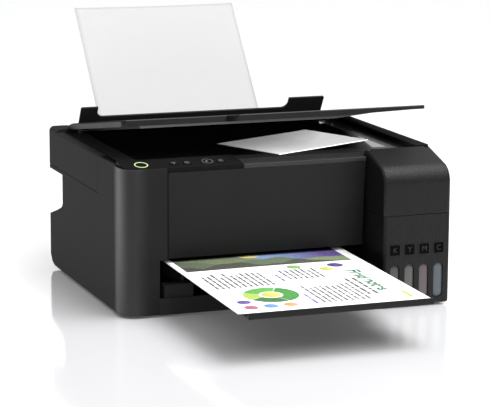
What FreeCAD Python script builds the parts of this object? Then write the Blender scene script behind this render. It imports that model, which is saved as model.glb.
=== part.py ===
import FreeCAD, Part
import os
import re

import Sketcher

# An inkjet printer with refillable tanks, in millimetres. X is to the right, Y to the back and Z up.
# The floor is z = 0, and the origin is the middle of the space taken with the tray and the sheet out.

SIZES = {
    # case
    "case_width": 375,
    "case_depth": 347,
    "case_middle": 41,
    "wall": 2.5,
    "floor_thickness": 3,
    "seam_gap": 0.6,
    "foot_height": 2,
    "foot_radius": 8,
    "foot_inset": 34,
    "left_height": 169.6,
    "rim_height": 175.4,
    "left_rim": 10,
    "right_rim": 16.5,
    "corner_radius": 20,
    "edge_radius": 3,
    "column_width": 52,
    "column_proud": 1.5,
    "slot_inset": 43,
    "slot_floor": 21,
    "slot_block_inset": 6,
    "slot_block_width": 34,
    "slot_block_height": 36,
    "cover_start": 142,
    "seam_height": 126.7,
    "corner_block_width": 22.5,
    "corner_block_rise": 3.9,
    "corner_block_radius": 6,
    "skirt_depth": 40,
    "skirt_rise": 13,
    # front panel and top
    "tank_step": 50,
    "panel_height": 167.3,
    "panel_bottom": 64,
    "panel_lean": 7,
    "panel_return": 20,
    "panel_gap": 1.7,
    "deck_thickness": 5,
    "deck_depth": 44,
    "deck_tilt": 13,
    "ridge_depth": 28.5,
    "deck_width": 142.5,
    "trim_depth": 20,
    # cable recess at the rear left
    "recess_width": 47.5,
    "recess_depth": 56,
    "recess_top": 122.4,
    "recess_floor": 63,
    "inlet_width": 20,
    "inlet_height": 24,
    "inlet_depth": 20,
    "data_port_width": 12,
    "data_port_height": 11,
    "socket_clearance": 0.3,
    # ink tanks
    "tank_width": 82.7,
    "tank_unit_depth": 72,
    "tank_seam": 106.3,
    "tank_corner": 4,
    "tank_bottom_edge": 3,
    "tank_pitch": 18.1,
    "tank_body_width": 16.4,
    "tank_body_depth": 45,
    "tank_body_top": 96,
    "tank_wall": 1.2,
    "neck_radius": 4.5,
    "neck_bore": 3,
    "neck_rise": 7,
    "neck_clearance": 0.5,
    "deck_plate": 2.5,
    "window_width": 11.6,
    "window_bottom": 9.5,
    "window_top": 49.5,
    "label_width": 11,
    "label_bottom": 62,
    "label_top": 72,
    "label_rise": 0.5,
    "cap_radius": 6.2,
    "cap_height": 6,
    "cap_gap": 0.3,
    "cap_lug": 5,
    "cap_arm": 9,
    "cap_pin_radius": 1,
    "cap_pin_clearance": 0.05,
    "cap_post": 2,
    "tube_radius": 1.5,
    "tube_height": 14,
    "tube_run": 28,
    # tank cover
    "cover_rear": 58,
    "cover_top_rear": 174.3,
    "cover_top_front": 157.5,
    "cover_curve": 22,
    "cover_hinge_back": 54.5,
    "cover_hinge_height": 167.6,
    "cover_pin_radius": 1,
    "cover_ear_radius": 1.9,
    "cover_ear_width": 4,
    "rim_start": 63,
    "pin_clearance": 0.05,
    # scanner
    "feeder_depth": 30,
    "scanner_gap": 1,
    "tub_bottom": 130,
    "tub_top": 166.6,
    "tub_front_slope": 6,
    "glass_thickness": 3,
    "glass_width": 303,
    "glass_depth": 220,
    "window_margin": 3,
    "sensor_width": 16,
    "sensor_height": 13,
    "sensor_gap": 0.8,
    "sensor_rest": 15.25,
    "rail_width": 4,
    "rail_height": 12,
    "rail_clearance": 0.4,
    # lid, drawn closed and then swung open
    "lid_top": 180.4,
    "lid_thickness": 7.4,
    "lid_margin_thickness": 4.4,
    "lid_recess": 4,
    "lid_left": 15.5,
    "lid_right": 1.9,
    "lid_margin": 15.6,
    "lid_taper": 100,
    "lid_front_lap": 7,
    "lid_step": 3,
    "lid_corner": 6,
    "lid_edge": 1.5,
    "lid_hinge_inset": 2.5,
    "lid_hinge_drop": 4.4,
    "lid_open": 9.3,
    "lid_rear_clear": 2,
    "lid_rear_drop": 2.8,
    "lid_rear_slope": 16,
    "hinge_pin_radius": 1.5,
    "hinge_knuckle": 2.4,
    "hinge_leaf": 3.5,
    "hinge_gap": 0.3,
    "hinge_slot": 4.5,
    "pad_clearance": 2,
    "pad_drop": 2.7,
    "pad_taper": 56,
    # rear feed
    "feed_tilt": 39,
    "feed_y": 164,
    "feed_z": 185,
    "sheet_width": 210,
    "sheet_length": 297,
    "sheet_above": 157,
    "sheet_thickness": 0.5,
    "sheet_middle": 164.1,
    "hopper_gap": 0.4,
    "hopper_thickness": 2,
    "hopper_top": 4,
    "hopper_length": 106,
    "hopper_left": 52.5,
    "support_width": 110,
    "support_thickness": 2.4,
    "support_gap": 0.6,
    "support_above": 86,
    "support_length": 112,
    "support_corner": 10,
    "guard_lead": 5.5,
    "guard_tilt": 31,
    "guard_thickness": 2.4,
    "guard_bar_top": 187.7,
    "guard_ear_top": 200.4,
    "guard_bottom": 172.3,
    "guard_left": 6.2,
    "guard_right": 13.6,
    "guard_notch_left": 27.5,
    "guard_notch_right": 61,
    "guard_corner": 8,
    "guard_pin_radius": 1.5,
    "guard_end_gap": 1.5,
    "feeder_bar": 8,
    "feeder_bar_height": 9,
    "guide_thickness": 3,
    "guide_length": 46,
    "guide_height": 1.8,
    "guide_gap": 0.6,
    # frame and paper path
    "frame_thickness": 2,
    "frame_left": 35.5,
    "frame_right": 27.5,
    "frame_front": 64,
    "frame_back": 84,
    "frame_height": 122,
    "frame_wall_y": 48,
    "frame_wall_bottom": 68,
    "shaft_radius": 4,
    "pickup_radius": 18,
    "pickup_width": 40,
    "pickup_z": 103,
    "pickup_gap": 0.4,
    "feed_roller_radius": 7,
    "feed_roller_y": 38,
    "feed_roller_z": 52,
    "exit_roller_radius": 4.6,
    "exit_roller_y": -58,
    "exit_roller_z": 54.6,
    "roller_cover": 26,
    "gear_radius": 20,
    "gear_width": 5,
    "gear_gap": 0.4,
    "motor_radius": 14,
    "motor_shaft_radius": 2,
    "motor_end": 25.5,
    "platen_front": -15,
    "platen_back": 20,
    "platen_bottom": 51.5,
    "platen_top": 57,
    # carriage
    "rod_y": 40,
    "rod_z": 93,
    "rod_radius": 4,
    "carriage_x": 36,
    "carriage_width": 60,
    "carriage_front": -30,
    "carriage_back": 32,
    "carriage_bottom": 64,
    "carriage_top": 118,
    "carriage_bay": 3,
    "head_drop": 3,
    "head_inset": 12,
    "pulley_radius": 5.4,
    "pulley_y": 41,
    "pulley_width": 5,
    "pulley_z": 108,
    "pulley_left": 16,
    "pulley_right": 14,
    "belt_thickness": 1.2,
    "belt_clearance": 0.3,
    "pulley_shaft_radius": 1.5,
    "carriage_motor_radius": 13,
    "carriage_motor_length": 18,
    "platen_right": 63,
    "capping_left": 60,
    "capping_right": 12,
    "capping_half": 22,
    "capping_top": 56,
    # electrics
    "supply_left": 81.5,
    "supply_front": 92,
    "supply_height": 50,
    "board_front": 88,
    "board_back": 132,
    "board_thickness": 1.6,
    # output tray
    "tray_left": 76,
    "tray_right": 10.8,
    "tray_front": 232,
    "tray_back": 84,
    "tray_bottom": 42,
    "tray_thickness": 3.5,
    "tray_step_gap": 0.8,
    "tray_inset": 7,
    "extension_inset": 11.8,
    "extension_front": 345,
    "extension_back": 222,
    "extension_lip": 8,
    "lip_thickness": 3,
    "tray_rail": 3,
    "tray_ledge": 5,
    "ledge_gap": 0.3,
    "rail_gap": 0.5,
    "page_width": 216,
    "page_length": 279,
    "page_left": 53.7,
    "page_front": 345,
    "page_height": 53.6,
    "page_rise": 5.9,
    "page_thickness": 0.4,
    # photo card on the glass
    "card_length": 152,
    "card_width": 102,
    "card_turn": 24.6,
    "card_x": -28.7,
    "card_y": 3.2,
    # controls
    "button_y": 13.3,
    "button_radius": 5.2,
    "power_radius": 7.9,
    "mono_radius": 7.2,
    "button_gap": 0.4,
    "button_height": 7,
    "button_rise": 0.6,
    "power_x": 26.2,
    "network_x": 64.2,
    "status_x": 79.9,
    "mono_x": 103.8,
    "colour_x": 119.8,
    # fasteners
    "screw_radius": 3.2,
    "screw_rise": 1.2,
    "screw_inset": 24,
    "screw_low": 30,
    "screw_high": 150,
}

doc = FreeCAD.newDocument("Printer")
sheet = doc.addObject("Spreadsheet::Sheet", "Sizes")
for row, (alias, value) in enumerate(SIZES.items(), 1):
    sheet.set(f"A{row}", alias)
    sheet.set(f"B{row}", str(value))
    sheet.setAlias(f"B{row}", alias)
doc.recompute()

nodes = {}


def number(formula):
    """The value of a formula of the sheet's sizes."""
    return float(sheet.evalExpression(str(formula)))


def bind(thing, prop, formula):
    """Drive one property by a formula of the sheet's sizes."""

    def of_sheet(found):
        return "Sizes." + found.group() if found.group() in SIZES else found.group()

    thing.setExpression(prop, re.sub(r"[a-z][a-z_0-9]*", of_sheet, str(formula)))


def node(label, thing):
    """Keep an object as one named sub-part."""
    thing.Label = label
    nodes[label] = thing
    return thing


def box(x, y, z):
    """A block between low and high on each axis."""
    made = doc.addObject("Part::Box", "block")
    for side, (low, high) in zip(("Length", "Width", "Height"), (x, y, z)):
        bind(made, side, f"({high}) - ({low})")
    for axis, (low, _) in zip("xyz", (x, y, z)):
        bind(made, f"Placement.Base.{axis}", low)
    return made


TURNS = {"x": ((0, 1, 0), 90), "y": ((1, 0, 0), -90), "z": ((0, 0, 1), 0)}


def rod(axis, first, second, low, high, radius):
    """A cylinder along one axis; first and second are its place on the other two axes."""
    made = doc.addObject("Part::Cylinder", "rod")
    line, angle = TURNS[axis]
    made.Placement.Rotation = FreeCAD.Rotation(FreeCAD.Vector(*line), angle)
    bind(made, "Radius", radius)
    bind(made, "Height", f"({high}) - ({low})")
    base = {"x": (low, first, second), "y": (first, low, second), "z": (first, second, low)}[axis]
    for name, formula in zip("xyz", base):
        bind(made, f"Placement.Base.{name}", formula)
    return made


def join(*things):
    """One piece from several that overlap or touch."""
    made = doc.addObject("Part::MultiFuse", "joined")
    made.Shapes = list(things)
    made.Refine = True
    return made


def group(*things):
    """Several separate solids kept as one sub-part."""
    made = doc.addObject("Part::Compound", "grouped")
    made.Links = list(things)
    return made


def cut(base, *tools):
    """The base with every tool taken out of it."""
    for tool in tools:
        made = doc.addObject("Part::Cut", "cut")
        made.Base = base
        made.Tool = tool
        made.Refine = True
        base = made
    return base


def prism(plane, points, low, high):
    """A body padded from a closed outline on a main plane, between low and high along its normal."""
    body = doc.addObject("PartDesign::Body", "body")
    sketch = body.newObject("Sketcher::SketchObject", "outline")
    support = [f for f in body.Origin.OriginFeatures if f.Role == plane + "_Plane"]
    sketch.AttachmentSupport = [(support[0], "")]
    sketch.MapMode = "FlatFace"
    bind(sketch, "AttachmentOffset.Base.z", f"-({high})" if plane == "XZ" else low)
    places = [FreeCAD.Vector(number(a), number(b), 0) for a, b in points]
    for i, place in enumerate(places):
        sketch.addGeometry(Part.LineSegment(place, places[(i + 1) % len(places)]), False)
    for i in range(len(places)):
        sketch.addConstraint(Sketcher.Constraint("Coincident", i, 2, (i + 1) % len(places), 1))
    for i, (place, formulas) in enumerate(zip(places, points)):
        for kind, value, formula in zip(("DistanceX", "DistanceY"), place, formulas):
            index = sketch.addConstraint(Sketcher.Constraint(kind, -1, 1, i, 1, value))
            bind(sketch, f"Constraints[{index}]", formula)
    pad = body.newObject("PartDesign::Pad", "pad")
    pad.Profile = sketch
    bind(pad, "Length", f"({high}) - ({low})")
    body.Tip = pad
    doc.recompute()
    return body


def edges_of(shape, axis, **at):
    """Names of the edges along one axis ("" for any edge) whose middle is at the given places."""
    found = []
    for i, edge in enumerate(shape.Edges, 1):
        middle = edge.valueAt((edge.FirstParameter + edge.LastParameter) / 2)
        if axis:
            ends = [v.Point for v in edge.Vertexes]
            if len(ends) < 2:
                continue
            others = [abs(getattr(ends[0] - ends[1], k)) for k in "xyz" if k != axis]
            if max(others) > 1e-4:
                continue
        if all(abs(getattr(middle, k) - number(v)) < 0.01 for k, v in at.items()):
            found.append(f"Edge{i}")
    return found


def rounded(body, radius, *names):
    """Round the named edges of a body's last shape."""
    before = body.Tip
    fillet = body.newObject("PartDesign::Fillet", "rounding")
    fillet.Base = (before, list(names))
    bind(fillet, "Radius", radius)
    body.Tip = fillet
    doc.recompute()
    return body


def swing(thing, y, z, angle, way=1):
    """Turn a finished piece about a hinge line along X, its front going up, or down if way is -1."""
    thing.Placement.Rotation = FreeCAD.Rotation(FreeCAD.Vector(-way, 0, 0), number(angle))
    bind(thing, "Placement.Rotation.Angle", angle)
    bind(thing, "Placement.Base.y", f"{y} - ({y}) * cos({angle}) - ({way}) * ({z}) * sin({angle})")
    bind(thing, "Placement.Base.z", f"{z} + ({way}) * ({y}) * sin({angle}) - ({z}) * cos({angle})")
    return thing


def slope(along, behind):
    """The (Y, Z) of a point of the feed slope: along it upwards, and behind the sheet's plane."""
    y = f"case_middle + feed_y + ({along}) * sin(feed_tilt) + ({behind}) * cos(feed_tilt)"
    z = f"feed_z + ({along}) * cos(feed_tilt) - ({behind}) * sin(feed_tilt)"
    return y, z


def lean(body):
    """Lay a body drawn upright, with Y as the distance behind the sheet, onto the feed slope."""
    body.Placement.Rotation = FreeCAD.Rotation(FreeCAD.Vector(-1, 0, 0), number("feed_tilt"))
    bind(body, "Placement.Rotation.Angle", "feed_tilt")
    bind(body, "Placement.Base.y", "case_middle + feed_y")
    bind(body, "Placement.Base.z", "feed_z")
    return body


def slope_plate(low, high, near, far, left, right):
    """A body lying on the feed slope."""
    corners = [slope(low, near), slope(low, far), slope(high, far), slope(high, near)]
    return prism("YZ", corners, left, right)


LEFT = "(-case_width / 2)"
RIGHT = "(case_width / 2)"
FRONT = "(case_middle - case_depth / 2)"
REAR = "(case_middle + case_depth / 2)"
FLOOR_TOP = "(foot_height + floor_thickness)"
PANEL_Y = f"({FRONT} + tank_step)"
COLUMN_Y = f"({PANEL_Y} - column_proud)"
PANEL_LEFT = f"({LEFT} + column_width)"
SLOT_LEFT = f"({LEFT} + slot_inset)"
COVER_Y = f"({FRONT} + cover_start)"
TANK_LEFT = f"({RIGHT} - tank_width)"
TANK_REAR = f"({FRONT} + tank_unit_depth)"
DECK_Y = f"({PANEL_Y} + deck_depth)"
DECK_RIGHT = f"({LEFT} + deck_width)"
RIDGE_Y = f"({PANEL_Y} + ridge_depth)"
TRIM_Y = f"({PANEL_Y} + trim_depth)"
RIM_Y = f"({FRONT} + rim_start)"
RECESS_X = f"({LEFT} + recess_width)"
RECESS_Y = f"({REAR} - recess_depth)"
SCANNER_REAR = f"({REAR} - feeder_depth)"
FEEDER_LEFT = f"({LEFT} + corner_block_width)"
FEEDER_RIGHT = f"({RIGHT} - right_rim)"
BAY_LEFT = f"({LEFT} + left_rim + scanner_gap)"
BAY_RIGHT = f"({FEEDER_RIGHT} - scanner_gap)"
GUARD_LEFT = f"({FEEDER_LEFT} + guard_left)"
GUARD_RIGHT = f"({FEEDER_RIGHT} - guard_right)"
LID_LEFT = f"({LEFT} + lid_left)"
LID_RIGHT = f"({RIGHT} - lid_right)"
LID_STEP = f"({DECK_RIGHT} - lid_step)"
SHEET_X = f"({LEFT} + sheet_middle)"
PLATE_LEFT = f"({LEFT} + frame_left)"
PLATE_RIGHT = f"({RIGHT} - frame_right)"
PULLEY_LEFT = f"({PLATE_LEFT} + pulley_left)"
PULLEY_RIGHT = f"({PLATE_RIGHT} - pulley_right)"
CARRIAGE_X = f"({PLATE_RIGHT} - carriage_x)"
MOTOR_END = f"({LEFT} + motor_end)"
TRAY_LEFT = f"({LEFT} + tray_left)"
TRAY_RIGHT = f"({TANK_LEFT} - tray_right)"
PAGE_LEFT = f"({LEFT} + page_left)"


def inside_y(distance):
    """A place measured from the case's middle."""
    return f"(case_middle + ({distance}))"


# base, standing on its feet

skirt_outer = [
    (f"{REAR} - skirt_depth", "foot_height"),
    (f"{REAR} - 0.45 * skirt_depth", "foot_height + 0.06 * skirt_rise"),
    (f"{REAR} - 0.175 * skirt_depth", "foot_height + 0.35 * skirt_rise"),
    (REAR, "foot_height + skirt_rise"),
]
skirt_inner = [
    (f"{REAR} - wall", "foot_height + skirt_rise"),
    (f"{REAR} - 0.2 * skirt_depth", "foot_height + 0.35 * skirt_rise + floor_thickness"),
    (f"{REAR} - 0.45 * skirt_depth", f"{FLOOR_TOP} + 0.06 * skirt_rise"),
    (f"{REAR} - skirt_depth", FLOOR_TOP),
]
floor_corners = [
    (f"{LEFT} + wall", f"{COLUMN_Y} + wall"),
    (TANK_LEFT, f"{COLUMN_Y} + wall"),
    (TANK_LEFT, TANK_REAR),
    (f"{RIGHT} - wall", TANK_REAR),
    (f"{RIGHT} - wall", f"{REAR} - skirt_depth"),
    (f"{LEFT} + wall", f"{REAR} - skirt_depth"),
]
floor = prism("XY", floor_corners, "foot_height", FLOOR_TOP)
rounded(
    floor,
    "corner_radius",
    *edges_of(floor.Shape, "z", x=f"{LEFT} + wall", y=f"{COLUMN_Y} + wall"),
)
skirt = prism("YZ", skirt_outer + skirt_inner, f"{LEFT} + wall", f"{RIGHT} - wall")
lip_x = (SLOT_LEFT, TANK_LEFT)
lip = box(lip_x, (COLUMN_Y, f"{COLUMN_Y} + wall"), ("foot_height", "slot_floor"))
block_left = f"({SLOT_LEFT} + slot_block_inset)"
block_right = f"({block_left} + slot_block_width)"
slot_block = prism(
    "XZ",
    [
        (block_left, "foot_height"),
        (block_right, "foot_height"),
        (block_right, "slot_block_height"),
        (block_left, "slot_block_height"),
    ],
    f"{COLUMN_Y} + wall",
    f"{COLUMN_Y} + 6 * wall",
)
rounded(
    slot_block,
    "wall",
    *edges_of(slot_block.Shape, "y", x=block_left, z="slot_block_height"),
    *edges_of(slot_block.Shape, "x", y=f"{COLUMN_Y} + wall", z="slot_block_height"),
)
rail_y = (f"{COLUMN_Y} + 6 * wall", inside_y("platen_back"))
rail_z = (FLOOR_TOP, "tray_bottom + tray_thickness")
left_rail = box((f"{TRAY_LEFT} - rail_gap - tray_rail", f"{TRAY_LEFT} - rail_gap"), rail_y, rail_z)
right_rail = box((f"{TRAY_RIGHT} + rail_gap", f"{TRAY_RIGHT} + rail_gap + tray_rail"), rail_y, rail_z)
ledge_z = ("tray_bottom - ledge_gap - tray_rail", "tray_bottom - ledge_gap")
left_ledge = box((f"{TRAY_LEFT} - rail_gap", f"{TRAY_LEFT} + tray_ledge"), rail_y, ledge_z)
right_ledge = box((f"{TRAY_RIGHT} - tray_ledge", f"{TRAY_RIGHT} + rail_gap"), rail_y, ledge_z)
node("base_pan", join(floor, skirt, lip, slot_block, left_rail, right_rail, left_ledge, right_ledge))

feet = []
for x in (f"{LEFT} + foot_inset", f"{RIGHT} - foot_inset"):
    for y in (f"{PANEL_Y} + foot_inset", f"{REAR} - skirt_depth - foot_radius"):
        feet.append(rod("z", x, y, "0", "foot_height", "foot_radius"))
node("rubber_feet", group(*feet))

# outer case

side_corners = [
    (LEFT, REAR),
    (LEFT, COLUMN_Y),
    (PANEL_LEFT, COLUMN_Y),
    (PANEL_LEFT, f"{COLUMN_Y} + wall"),
    (f"{LEFT} + wall", f"{COLUMN_Y} + wall"),
    (f"{LEFT} + wall", REAR),
]
side = prism("XY", side_corners, "foot_height", "left_height")
rounded(side, "corner_radius", *edges_of(side.Shape, "z", x=LEFT, y=COLUMN_Y))
rounded(
    side,
    "corner_radius - wall",
    *edges_of(side.Shape, "z", x=f"{LEFT} + wall", y=f"{COLUMN_Y} + wall"),
)
rounded(side, "0.9 * wall", *edges_of(side.Shape, "y", x=LEFT, z="foot_height"))
cover_space = box(
    (f"{LEFT} - wall", f"{PANEL_LEFT} + wall"),
    (COVER_Y, f"{REAR} + wall"),
    ("seam_height", "left_height + wall"),
)
deck_space = prism(
    "YZ",
    [
        (DECK_Y, "left_height"),
        (f"{COLUMN_Y} - wall", "panel_height"),
        (f"{COLUMN_Y} - wall", "left_height + wall"),
        (DECK_Y, "left_height + wall"),
    ],
    f"{LEFT} - wall",
    f"{PANEL_LEFT} + wall",
)
slot_space = box(
    (SLOT_LEFT, f"{PANEL_LEFT} + wall"),
    (f"{COLUMN_Y} - wall", f"{COLUMN_Y} + 2 * wall"),
    ("foot_height - wall", "panel_bottom"),
)
recess_mouth = prism(
    "YZ",
    [
        (RECESS_Y, "recess_top"),
        (f"{REAR} + wall", "recess_top"),
        (f"{REAR} + wall", "recess_floor + 2"),
        (f"{REAR} - 0.6 * recess_depth", "recess_floor + 13"),
        (f"{RECESS_Y} + 2 * wall", "recess_floor + 19"),
        (RECESS_Y, "recess_floor + 24"),
    ],
    f"{LEFT} - wall",
    f"{LEFT} + 2 * wall",
)
under_skirt = [(f"{REAR} + wall", "foot_height - wall"), (f"{REAR} - skirt_depth", "foot_height - wall")]
side_heel = prism(
    "YZ",
    under_skirt + skirt_outer + [(f"{REAR} + wall", "foot_height + skirt_rise")],
    f"{LEFT} - wall",
    f"{RIGHT} + wall",
)
node("left_case", cut(side, cover_space, deck_space, slot_space, recess_mouth, side_heel))

cover_y = (f"{COVER_Y} + seam_gap", REAR)
cover_shell = prism(
    "XZ",
    [
        (LEFT, "seam_height + seam_gap"),
        (f"{LEFT} + wall", "seam_height + seam_gap"),
        (f"{LEFT} + wall", "left_height - wall"),
        (f"{LEFT} + left_rim", "left_height - wall"),
        (f"{LEFT} + left_rim", "left_height"),
        (LEFT, "left_height"),
    ],
    *cover_y,
)
rounded(cover_shell, "0.6 * edge_radius", *edges_of(cover_shell.Shape, "y", x=LEFT, z="left_height"))
cover_tongue = box(
    (f"{LEFT} + wall", f"{LEFT} + 2 * wall"),
    (f"{COVER_Y} + wall", f"{RECESS_Y} - 2 * wall"),
    ("seam_height - 3 * wall", "seam_height + 3 * wall"),
)
corner_y = (f"{SCANNER_REAR} + seam_gap", REAR)
corner_top = "left_height + corner_block_rise"
corner_block = prism(
    "XZ",
    [
        (LEFT, "recess_top + 2 * wall"),
        (FEEDER_LEFT, "recess_top + 2 * wall"),
        (FEEDER_LEFT, corner_top),
        (LEFT, corner_top),
    ],
    *corner_y,
)
rounded(corner_block, "corner_block_radius", *edges_of(corner_block.Shape, "y", x=LEFT, z=corner_top))
corner_hollow = box(
    (f"{LEFT} + wall", f"{FEEDER_LEFT} - wall"),
    (f"{SCANNER_REAR} + seam_gap + wall", f"{REAR} - wall"),
    ("recess_top", "left_height + corner_block_rise - wall"),
)
node("left_upper_cover", cut(join(cover_shell, cover_tongue, corner_block), corner_hollow))

panel_top = "(panel_height - deck_thickness)"
panel_sheet = prism(
    "YZ",
    [
        (PANEL_Y, panel_top),
        (f"{PANEL_Y} + wall", panel_top),
        (f"{PANEL_Y} + panel_lean + wall", "panel_bottom"),
        (f"{PANEL_Y} + panel_lean", "panel_bottom"),
    ],
    f"{PANEL_LEFT} + panel_gap",
    f"{TANK_LEFT} - panel_gap",
)
panel_flange = box(
    (f"{PANEL_LEFT} + seam_gap", TANK_LEFT),
    (f"{PANEL_Y} + panel_lean", f"{PANEL_Y} + panel_lean + panel_return"),
    ("panel_bottom", "panel_bottom + wall"),
)
node("front_panel", join(panel_sheet, panel_flange))

buttons = {
    "power_button": (f"{LEFT} + power_x", "power_radius"),
    "network_button": (f"{LEFT} + network_x", "button_radius"),
    "status_button": (f"{LEFT} + status_x", "button_radius"),
    "mono_copy_button": (f"{LEFT} + mono_x", "mono_radius"),
    "colour_copy_button": (f"{LEFT} + colour_x", "button_radius"),
}
button_y = f"({PANEL_Y} + button_y)"
deck_front = f"({COLUMN_Y} + wall)"
ridge_top = f"(panel_height + ({RIDGE_Y} - {deck_front}) * tan(deck_tilt))"
key_z = f"(panel_height + ({button_y} - {deck_front}) * tan(deck_tilt))"
deck = prism(
    "YZ",
    [
        (DECK_Y, "left_height"),
        (RIDGE_Y, "left_height"),
        (RIDGE_Y, ridge_top),
        (deck_front, "panel_height"),
        (deck_front, panel_top),
        (DECK_Y, panel_top),
    ],
    f"{LEFT} + wall",
    DECK_RIGHT,
)
rounded(
    deck,
    "corner_radius - wall",
    *edges_of(deck.Shape, "z", x=f"{LEFT} + wall", y=deck_front),
)
lid_room = box(
    (f"{LID_STEP} - seam_gap", f"{DECK_RIGHT} + wall"),
    (deck_front, f"{RIDGE_Y} + wall"),
    ("left_height", f"{ridge_top} + wall"),
)
deck = cut(deck, lid_room)


def key_rod(x, low, high, radius):
    """A rod across the tilted control strip, its ends measured from the strip's face."""
    upright = group(rod("z", x, button_y, f"{key_z} + {low}", f"{key_z} + {high}", radius))
    return swing(upright, button_y, key_z, "deck_tilt", -1)


for label, (x, radius) in buttons.items():
    deck = cut(deck, key_rod(x, "-4 * deck_thickness", "2 * deck_thickness", f"{radius} + button_gap"))
node("control_panel", deck)
for label, (x, radius) in buttons.items():
    node(label, key_rod(x, "button_rise - button_height", "button_rise", radius))

trim = prism(
    "YZ",
    [
        (TRIM_Y, "left_height - seam_gap"),
        (PANEL_Y, "panel_height"),
        (PANEL_Y, panel_top),
        (TRIM_Y, panel_top),
    ],
    DECK_RIGHT,
    f"{TANK_LEFT} - seam_gap",
)
node("front_trim", trim)

right_wall = prism(
    "YZ",
    [
        (TANK_REAR, "foot_height"),
        (f"{REAR} - wall", "foot_height"),
        (f"{REAR} - wall", "rim_height"),
        (RIM_Y, "rim_height"),
        (RIM_Y, "tank_seam"),
        (TANK_REAR, "tank_seam"),
    ],
    f"{RIGHT} - wall",
    RIGHT,
)
rim_x = (FEEDER_RIGHT, RIGHT)
rim = box(rim_x, (RIM_Y, f"{REAR} - wall"), ("rim_height - wall", "rim_height"))
rim_wall = box(
    (FEEDER_RIGHT, f"{FEEDER_RIGHT} + wall"),
    (RIM_Y, f"{REAR} - wall"),
    ("tub_bottom", "rim_height"),
)
bulkhead_y = (RIM_Y, f"{RIM_Y} + wall")
bulkhead = box((TANK_LEFT, RIGHT), bulkhead_y, ("tank_seam", "cover_hinge_height"))
hinge_y = f"({FRONT} + cover_hinge_back)"
ears = []
pins = []
ear_notches = []
for side_x, way in ((f"{TANK_LEFT} + wall", 1), (f"{RIGHT} - wall", -1)):
    near = f"({side_x} + {way} * seam_gap)"
    far = f"({near} + {way} * cover_ear_width)"
    ear_x = (near, far) if way > 0 else (far, near)
    arm = box(ear_x, (hinge_y, RIM_Y), ("cover_hinge_height - cover_ear_radius", "cover_hinge_height"))
    ring = rod("x", hinge_y, "cover_hinge_height", *ear_x, "cover_ear_radius")
    bore = rod("x", hinge_y, "cover_hinge_height", *ear_x, "cover_pin_radius + pin_clearance")
    ears.append(cut(join(arm, ring), bore))
    pin_x = (side_x, far) if way > 0 else (far, side_x)
    pins.append(rod("x", hinge_y, "cover_hinge_height", *pin_x, "cover_pin_radius"))
    inner = f"({far} + {way} * seam_gap)"
    notch_ends = (side_x, inner) if way > 0 else (inner, side_x)
    notch_z = ("cover_hinge_height + cover_ear_radius", "cover_top_rear + wall")
    ear_notches.append(box(notch_ends, (hinge_y, RIM_Y), notch_z))
right_side = join(right_wall, rim, rim_wall, bulkhead, *ears)
node("right_case", cut(right_side, side_heel))

back_z = "foot_height + skirt_rise"
back_sheet = prism(
    "XZ",
    [
        (f"{LEFT} + wall", back_z),
        (RIGHT, back_z),
        (RIGHT, "rim_height"),
        (FEEDER_RIGHT, "rim_height"),
        (FEEDER_RIGHT, "left_height"),
        (FEEDER_LEFT, "left_height"),
        (FEEDER_LEFT, "recess_top + wall"),
        (RECESS_X, "recess_top + wall"),
        (RECESS_X, "recess_floor"),
        (f"{LEFT} + wall", "recess_floor"),
    ],
    f"{REAR} - wall",
    REAR,
)
recess_z = ("recess_floor - wall", "recess_top + wall")
recess_side = box((RECESS_X, f"{RECESS_X} + wall"), (f"{RECESS_Y} - wall", REAR), recess_z)
recess_front = box((f"{LEFT} + wall", RECESS_X), (f"{RECESS_Y} - wall", RECESS_Y), recess_z)
recess_plan = ((f"{LEFT} + wall", f"{RECESS_X} + wall"), (f"{RECESS_Y} - wall", REAR))
recess_base = box(*recess_plan, ("recess_floor - wall", "recess_floor"))
recess_roof = box(*recess_plan, ("recess_top", "recess_top + wall"))
feed_ledge = box(
    (f"{GUARD_LEFT} - guard_end_gap", f"{GUARD_RIGHT} + guard_end_gap"),
    (f"{REAR} - 3 * wall", REAR),
    ("left_height - wall", "left_height"),
)
inlet_y = f"({REAR} - 0.35 * recess_depth)"
port_y = f"({RECESS_Y} + 0.22 * recess_depth)"
socket_z = "((recess_floor + recess_top) / 2)"


def socket_span(middle, size, spare):
    """Low and high of a socket, or of its opening with clearance to spare."""
    return f"{middle} - {size} / 2 - {spare}", f"{middle} + {size} / 2 + {spare}"


inlet_hole = box(
    (f"{RECESS_X} - wall", f"{RECESS_X} + 2 * wall"),
    socket_span(inlet_y, "inlet_width", "socket_clearance"),
    socket_span(socket_z, "inlet_height", "socket_clearance"),
)
port_hole = box(
    (f"{RECESS_X} - wall", f"{RECESS_X} + 2 * wall"),
    socket_span(port_y, "data_port_width", "socket_clearance"),
    socket_span(socket_z, "data_port_height", "socket_clearance"),
)
rear_shell = join(back_sheet, recess_side, recess_front, recess_base, recess_roof, feed_ledge)
node("rear_case", cut(rear_shell, inlet_hole, port_hole))

screws = []
for x in (f"{RECESS_X} + screw_inset", f"{RIGHT} - screw_inset"):
    for z in ("screw_low", "screw_high"):
        screws.append(rod("y", x, z, REAR, f"{REAR} + screw_rise", "screw_radius"))
node("case_screws", group(*screws))

# ink tanks

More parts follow.
